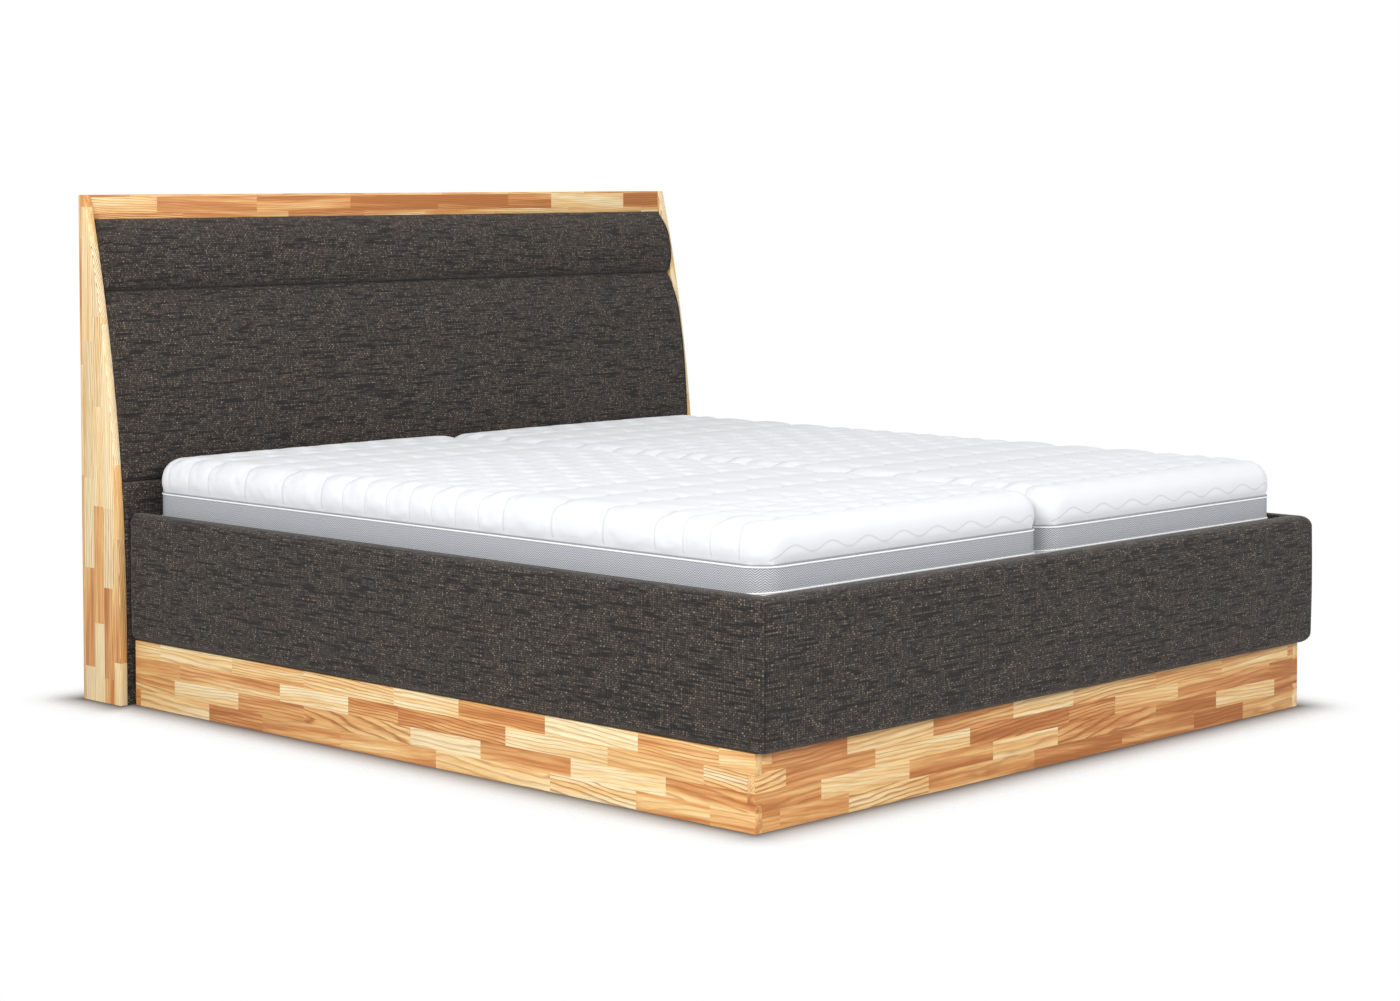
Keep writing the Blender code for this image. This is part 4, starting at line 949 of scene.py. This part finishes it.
def quilt_relief(row, turn, pitch):
    """Height of the quilted cover over its sewn lines, from 0 in a tuft to 1 on a puff."""
    puff = np.abs(np.sin(math.pi * row)) ** PUFF_POWER
    apart = np.sin(turn) * np.cos(math.pi * np.floor(row))
    full = 1 - SWING_FULLNESS + SWING_FULLNESS * apart
    wide = 1 - WIDTH_FULLNESS + WIDTH_FULLNESS * np.minimum(1.0, pitch / FULL_WIDTH)
    across = np.exp(-(np.sin(math.pi * row) / TUFT_HALF_WIDTH) ** 2)
    tuft = np.abs(np.sin(turn)) ** 10 * across
    return puff * full * wide * (1 - TUFT_FLATTENING * tuft) - TUFT_DEPTH * tuft


def rounded_block(low, high, corner, edge, edge_low=0.0, segments=6):
    """A block with rounded upright corners and, where given, rounded upper and lower edges."""
    shape = bmesh.new()
    bmesh.ops.create_cube(shape, size=1.0)
    for vert in shape.verts:
        vert.co = [low[k] if vert.co[k] < 0 else high[k] for k in range(3)]
    upright = [e for e in shape.edges if abs(e.verts[0].co.z - e.verts[1].co.z) > 1e-6]
    ease(shape, upright, corner, 2 * segments)
    for level, radius in ((high[2], edge), (low[2], edge_low)):
        if radius:
            rim = [e for e in shape.edges if all(abs(v.co.z - level) < 1e-6 for v in e.verts)]
            ease(shape, rim, radius, segments)
    return shape


def even_cover(low, high, top):
    """Rounded upper half of a mattress cover, remeshed into even cells."""
    soft = looks().mattress
    shape = rounded_block(
        (low.x, low.y, soft.zip_height), (high.x, high.y, top), soft.corner, soft.roll
    )
    blank = new_object("cover_blank", shape)
    remesh = blank.modifiers.new("even", "REMESH")
    remesh.mode = "VOXEL"
    remesh.voxel_size = QUILT_CELL
    bpy.context.view_layer.update()
    even = blank.evaluated_get(bpy.context.evaluated_depsgraph_get()).to_mesh()
    shape = bmesh.new()
    shape.from_mesh(even)
    bpy.data.objects.remove(blank)
    shape.verts.ensure_lookup_table()
    return shape


def make_mattress_covers():
    """Quilted covers: wavy sewn lines between puffs that swell as cloth.

    The right cover is a moved copy of the left one, so its flattened side lies at the rail."""
    soft = looks().mattress
    low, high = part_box("mattress_left")
    middle = (low.x + high.x) / 2
    top = high.z - BLANK_DROP
    shape = even_cover(low, high, top)
    points = np.array([v.co for v in shape.verts])
    above_hem = points[:, 2] > soft.zip_height + HEM_EDGE
    # Vertices next to a sewn line are slid onto it, so that the line runs along the mesh
    for _ in range(2):
        flat, arc, way, normal = unrolled(points, low, high, top)
        row, turn, pitch = quilt_rows(flat, arc, way, middle)
        off = (np.round(row) - row) * pitch
        slide = np.where((np.abs(off) < 0.5 * QUILT_CELL) & above_hem, off, 0.0)
        still = np.zeros(len(points))
        tangent = np.column_stack([still, normal[:, 2], -normal[:, 1]])
        # Only the ends and the level top and sides are slid, not the corners between them
        facing = np.abs(way[:, 1]) * (arc > 0)
        step = np.where(
            (facing > 0.5)[:, None], tangent * slide[:, None],
            np.column_stack([still, slide, still]),
        )
        step[(facing > 0.05) & (facing <= 0.95)] = 0.0
        points = points + step
    flat, arc, way, normal = unrolled(points, low, high, top)
    row, turn, pitch = quilt_rows(flat, arc, way, middle)
    hem = smooth_share((points[:, 2] - soft.zip_height - HEM_START) / HEM_HEIGHT)
    relief = quilt_relief(row, turn, pitch)
    ends = (np.abs(way[:, 1]) > 0.5) & (arc > 0)
    depth = soft.puff + (soft.side_puff - soft.puff) * smooth_share(arc / DEPTH_REACH)
    joint = (way[:, 0] > 0.5) & (arc > 0)
    for part, flattening, reach in (
        (ends, END_FLATTENING, SIDE_REACH), (joint, JOINT_FLATTENING, JOINT_REACH)
    ):
        depth = np.where(part, depth * (1 - flattening * smooth_share(arc / reach)), depth)
    height = depth * (relief - MEAN_RELIEF)
    bow = 1 - ((points[:, 0] - middle) / CROWN_HALF_WIDTH) ** 4
    crown = CROWN_RISE * bow * (arc <= 0.0)
    placed = points + normal * ((height * hem + crown) * above_hem)[:, None]
    placed[:, :2] -= way * (HEM_DRAW * (1 - hem) * above_hem)[:, None]
    lay_map(shape, "quilt", lambda vert, _: (turn[vert.index] / (2 * math.pi), row[vert.index]))
    for vert, spot in zip(shape.verts, placed):
        vert.co = spot
    cover = finish_cover("left", shape)
    held = np.abs(np.round(row) - row) * pitch < SEWN_HALF_WIDTH
    held |= ends | joint | (points[:, 2] < soft.zip_height + HELD_FOOT)
    pins = np.nonzero(held)[0].tolist()
    inflate(cover, pins, pressure=3.0, frames=14, cap=2 * MM, slack=0.015)
    soften(cover)
    shape = bmesh.new()
    shape.from_mesh(cover.data)
    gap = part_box("mattress_right")[0].x - low.x
    bmesh.ops.translate(shape, verts=shape.verts, vec=(gap, 0.0, 0.0))
    soften(finish_cover("right", shape))


def finish_cover(side, shape):
    node = "mattress_" + side
    return finish(
        node + "_cover", shape, "quilted jersey", node, (node,), 180.0
    )


def soften(piece):
    """One level of subdivision, live on the piece."""
    level = piece.modifiers.new("soft", "SUBSURF")
    level.levels = 1
    level.render_levels = 1


def make_mattress_border(side):
    """Grey mesh border between two pipings, and the plain lower cover."""
    node = "mattress_" + side
    soft = looks().mattress
    zipped, banded = soft.zip_height, soft.border_foot
    low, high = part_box(node)
    rim = 1.9 * MM
    parts = (
        ("zip_tape", zipped + 1.5 * MM, zipped - 2 * MM, 1.5 * MM, 0.0, 0.0, "grey zip tape"),
        ("border", zipped - 4 * MM, banded + 0.5 * MM, 1.8 * MM, 0.0, 0.0, "spacer mesh"),
        ("upper_piping", zipped - 1 * MM, zipped - 5 * MM, -0.3 * MM, rim, rim, "white jersey"),
        ("lower_piping", banded + 3 * MM, banded - 1 * MM, -0.3 * MM, rim, rim, "white jersey"),
        ("lower_cover", banded - 0.5 * MM, low.z, 1 * MM, 0.0, 20 * MM, "white jersey"),
    )
    for part, top, foot, inset, edge, edge_low, material in parts:
        shape = rounded_block(
            (low.x + inset, low.y + inset, foot), (high.x - inset, high.y - inset, top),
            soft.corner - inset, edge, edge_low, 4,
        )
        # The border's lower edge dips along the sides, where the rails hide it
        for vert in shape.verts:
            if banded - 2 * MM < vert.co.z < banded + 4 * MM:
                vert.co.z -= 5 * MM * min(1.0, (vert.co.y - low.y) / soft.corner)
        shape.normal_update()
        lay_map(shape, "weave", lambda vert, way: (
            vert.co.y if abs(way.x) > abs(way.y) else vert.co.x, vert.co.z
        ))
        finish(f"mattress_{side}_{part}", shape, material, node, (), 50.0)


def make_wood_boards():
    """Cheeks, top board and plinth, with their edges eased."""
    boards = (
        ("headboard_side_left", "upright", 1.6), ("headboard_side_right", "upright", 1.6),
        ("headboard_top_board", "across", 1.2), ("plinth_foot", "across", 0.7),
        ("plinth_left", "lengthwise", 0.7), ("plinth_right", "lengthwise", 0.7),
        ("plinth_head", "across", 0.7),
    )
    for node, way, radius in boards:
        eased_copy(node, "oiled ash staves " + way, radius * MM)


def make_inner_boards():
    """Panels, floors, battens and the frames that carry the slats."""
    boards = (
        ("birch plywood upright", "raw_board", ("headboard_back_panel", "headboard_backing_board")),
        ("birch plywood lengthwise", "raw_board", ("side_rail_left_core", "side_rail_right_core")),
        ("birch plywood across", "raw_board", ("foot_rail_core", "head_cross_board")),
        (
            "birch plywood lengthwise", "raw_board",
            ("storage_floor_left", "storage_floor_right", "centre_board"),
        ),
        (
            "sawn spruce lengthwise", "batten",
            ("floor_cleat_left", "floor_cleat_right", "centre_beam"),
        ),
        ("sawn spruce across", "batten", ("foot_ledge",)),
        ("sawn spruce lengthwise", "batten", ("side_ledge_left", "side_ledge_right")),
        ("sawn spruce frame", "batten", ("slat_frame_left", "slat_frame_right")),
    )
    for material, slot, nodes in boards:
        for node in nodes:
            eased_copy(node, material, 0.8 * MM, 1)


def make_slats():
    """Slats with rounded edges, and their moulded holders."""
    for side, _ in SIDES:
        node = "slats_" + side
        eased_copy(node, "beech slat ply", 1.5 * MM)
        low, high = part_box(node)
        pitch = (high.y - low.y - SLAT_WIDTH) / (SLAT_COUNT - 1)
        holder = Vector((HOLDER_LENGTH, SLAT_WIDTH + 2 * MM, high.z - low.z + 0.2 * MM))
        shape = bmesh.new()
        for index in range(SLAT_COUNT):
            y = low.y + SLAT_WIDTH / 2 + index * pitch
            for x in (low.x + HOLDER_INSET, high.x - HOLDER_INSET):
                made = bmesh.ops.create_cube(shape, size=1.0)["verts"]
                bmesh.ops.scale(shape, vec=holder, verts=made)
                bmesh.ops.translate(shape, vec=(x, y, (low.z + high.z) / 2), verts=made)
        ease(shape, shape.edges[:], HOLDER_EDGE, 2, clamped=True)
        finish("slat_holders_" + side, shape, "black polypropylene", node)


def make_fittings():
    """Lift fittings, gas springs and mattress stops."""
    for node in NODES:
        if node.startswith(("base_plate", "rear_link", "frame_arm", "mattress_stop")):
            eased_copy(node, "zinc plated steel", 0.4 * MM, 1)
        elif node.startswith("gas_cylinder"):
            eased_copy(node, "black powder coat", 0.3 * MM, 1)
        elif node.startswith("gas_rod"):
            eased_copy(node, "hard chrome", 0.3 * MM, 1)


def distance_outside(add, spot, centre, half_size):
    """Distance on the floor from a rectangle, nought inside it."""
    moved = add("VectorMath", "SUBTRACT", (spot, (*centre, 0.0)))
    apart = add("VectorMath", "ABSOLUTE", (moved,))
    beyond = add("VectorMath", "SUBTRACT", (apart, (*half_size, 0.0)))
    outside = add("VectorMath", "MAXIMUM", (beyond, (0.0, 0.0, 0.0)))
    return add("VectorMath", "LENGTH", (outside,))


# Matt white vinyl sweep that shows the bed's shadow, with a painted contact shadow in its colour
# where the bed touches it. It fades into the white background a hand's width from the bed. The half
# shadow is the painted tone 30 mm out.
HALF_SHADOW = "#B0B0B0"
SHADOW_REACHES = (0.0, 0.03, 0.11)
FADE_REACH = 0.17


def vinyl_sweep(name):
    """Floor with a painted contact shadow in its colour where the bed touches it, clear to the
    camera further out.
    """
    studio = looks().studio
    material, add, shader = new_material(name, 0.9)
    spot = add("TexCoord").outputs["Object"]
    plinth_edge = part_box("plinth_right")[1].x
    cheek_low, cheek_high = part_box("headboard_side_right")
    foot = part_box("plinth_foot")[0].y
    near_plinth = distance_outside(add, spot, (0.0, 0.0), (plinth_edge, -foot))
    near_cheeks = distance_outside(
        add, spot, (0.0, (cheek_low.y + cheek_high.y) / 2),
        (cheek_high.x, (cheek_high.y - cheek_low.y) / 2),
    )
    reach = add("Math", "MINIMUM", (near_plinth, near_cheeks))
    # Painted shadow: the floor's colour runs from the contact shadow tone at the bed through the
    # half shadow to its own white.
    tones = (studio.shadow, linear(HALF_SHADOW), studio.floor)
    painted_contact_shadow = add("ValToRGB", inputs=(reach,), stops=zip(SHADOW_REACHES, tones))
    seen = add("LightPath").outputs["Is Camera Ray"]
    tone = add("Mix", {"data_type": "RGBA"}, {0: seen, 6: (*studio.bounce, 1.0), 7: painted_contact_shadow})
    set_inputs(shader, {"Base Color": tone})
    fade = add("MapRange", {"interpolation_type": "SMOOTHSTEP"}, (reach, 0.0, FADE_REACH))
    share = add("Math", "MULTIPLY", (fade, seen))
    mix = add("MixShader", inputs=(share, shader, add("BsdfTransparent")))
    set_inputs(material.node_tree.nodes["Material Output"], {"Surface": mix})
    return material


def make_stage():
    """White floor that fades into a white background, soft lamps, and the photograph's camera."""
    scene = bpy.context.scene
    studio = looks().studio
    scene.view_settings.view_transform = "Standard"
    shape = bmesh.new()
    bmesh.ops.create_circle(shape, cap_ends=True, segments=96, radius=FLOOR_RADIUS)
    floor = new_object("studio_floor", shape)
    floor.data.materials.append(vinyl_sweep("matt vinyl sweep"))

    world = bpy.data.worlds.new("white studio")
    world.use_nodes = True
    scene.world = world
    add = partial(add_node, world.node_tree)
    white = (1.0, 1.0, 1.0, 1.0)
    soft = world.node_tree.nodes["Background"]
    set_inputs(soft, {"Color": white, "Strength": WORLD_STRENGTH})
    backdrop = add("Background", inputs={"Color": white, "Strength": 1.0})
    seen = add("LightPath").outputs["Is Camera Ray"]
    mix = add("MixShader", inputs=(seen, soft, backdrop))
    set_inputs(world.node_tree.nodes["World Output"], {"Surface": mix})

    for name, spot, size in LAMPS:
        lamp = bpy.data.lights.new(name, "AREA")
        lamp.shape = "SQUARE"
        lamp.size = size
        lamp.energy = getattr(studio, name)
        stand = bpy.data.objects.new(name, lamp)
        stand.location = spot
        way = Vector(LAMP_TARGET) - Vector(spot)
        stand.rotation_euler = way.to_track_quat("-Z", "Y").to_euler()
        scene.collection.objects.link(stand)

    lens = bpy.data.cameras.new("camera")
    lens.sensor_width = 36.0
    lens.lens = CAMERA_LENS
    lens.shift_y = CAMERA_SHIFT
    camera = bpy.data.objects.new("camera", lens)
    camera.location = CAMERA_PLACE
    camera.rotation_euler = (math.radians(CAMERA_TILT), 0.0, math.radians(CAMERA_TURN))
    scene.collection.objects.link(camera)
    scene.camera = camera


class STORAGEBED_OT_boards(bpy.types.Operator):
    """Ease and oil the cheeks, the top board and the plinth"""

    bl_idname = "storage_bed.boards"
    bl_label = "Oiled Boards"

    def execute(self, context):
        make_wood_boards()
        return {"FINISHED"}


class STORAGEBED_OT_inner_boards(bpy.types.Operator):
    """Finish the panels, the floors, the battens and the slatted frames"""

    bl_idname = "storage_bed.inner_boards"
    bl_label = "Inner Boards"

    def execute(self, context):
        make_inner_boards()
        return {"FINISHED"}


class STORAGEBED_OT_headboard_pads(bpy.types.Operator):
    """Upholster the bolster, the cushion and the panel below them"""

    bl_idname = "storage_bed.headboard_pads"
    bl_label = "Headboard Pads"

    def execute(self, context):
        make_pad("headboard_bolster")
        make_pad("headboard_cushion")
        make_base_panel()
        return {"FINISHED"}


class STORAGEBED_OT_rails(bpy.types.Operator):
    """Upholster the foot rail and the side rails"""

    bl_idname = "storage_bed.rails"
    bl_label = "Padded Rails"

    def execute(self, context):
        make_rail("foot_rail_cover", 0, 0)
        make_rail("side_rail_left_cover", 1, -1)
        make_rail("side_rail_right_cover", 1, 1)
        return {"FINISHED"}


class STORAGEBED_OT_mattress_covers(bpy.types.Operator):
    """Quilt the mattress covers and let them swell as cloth"""

    bl_idname = "storage_bed.mattress_covers"
    bl_label = "Quilted Covers"

    def execute(self, context):
        make_mattress_covers()
        return {"FINISHED"}


class STORAGEBED_OT_mattress_borders(bpy.types.Operator):
    """Add the mattresses' zips, pipings, mesh borders and lower covers"""

    bl_idname = "storage_bed.mattress_borders"
    bl_label = "Mattress Borders"

    def execute(self, context):
        for side, _ in SIDES:
            make_mattress_border(side)
        return {"FINISHED"}


class STORAGEBED_OT_slats(bpy.types.Operator):
    """Round the slats and add their holders"""

    bl_idname = "storage_bed.slats"
    bl_label = "Sprung Slats"

    def execute(self, context):
        make_slats()
        return {"FINISHED"}


class STORAGEBED_OT_fittings(bpy.types.Operator):
    """Finish the lift fittings, the gas springs and the mattress stops"""

    bl_idname = "storage_bed.fittings"
    bl_label = "Lift Fittings"

    def execute(self, context):
        make_fittings()
        return {"FINISHED"}


class STORAGEBED_OT_stage(bpy.types.Operator):
    """Set up the floor, the lamps, the world and the camera"""

    bl_idname = "storage_bed.stage"
    bl_label = "Stage"

    def execute(self, context):
        make_stage()
        return {"FINISHED"}


GROUPS = (StaveLooks, ClothLooks, PadShapes, MattressShapes, StudioLooks)
STEPS = (
    STORAGEBED_OT_boards, STORAGEBED_OT_inner_boards, STORAGEBED_OT_headboard_pads,
    STORAGEBED_OT_rails, STORAGEBED_OT_mattress_covers, STORAGEBED_OT_mattress_borders,
    STORAGEBED_OT_slats, STORAGEBED_OT_fittings, STORAGEBED_OT_stage,
)


class STORAGEBED_PT_panel(bpy.types.Panel):
    """Sizes, colours and steps of the storage bed's looks"""

    bl_idname = "STORAGEBED_PT_panel"
    bl_label = "Storage Bed"
    bl_space_type = "VIEW_3D"
    bl_region_type = "UI"
    bl_category = "Storage Bed"

    def draw(self, context):
        bed = context.scene.storage_bed
        for part, group in zip(StorageBedLooks.__annotations__, GROUPS):
            box = self.layout.box()
            box.label(text=group.__doc__)
            for key in group.__annotations__:
                box.prop(getattr(bed, part), key)
        for step in STEPS:
            self.layout.operator(step.bl_idname)


CLASSES = (*GROUPS, StorageBedLooks, *STEPS, STORAGEBED_PT_panel)


def register():
    for kind in CLASSES:
        bpy.utils.register_class(kind)
    bpy.types.Scene.storage_bed = bpy.props.PointerProperty(type=StorageBedLooks)


def unregister():
    del bpy.types.Scene.storage_bed
    for kind in reversed(CLASSES):
        bpy.utils.unregister_class(kind)


def main():
    register()
    for step in STEPS:
        getattr(bpy.ops.storage_bed, step.bl_idname.split(".")[1])()


if __name__ == "__main__":
    main()
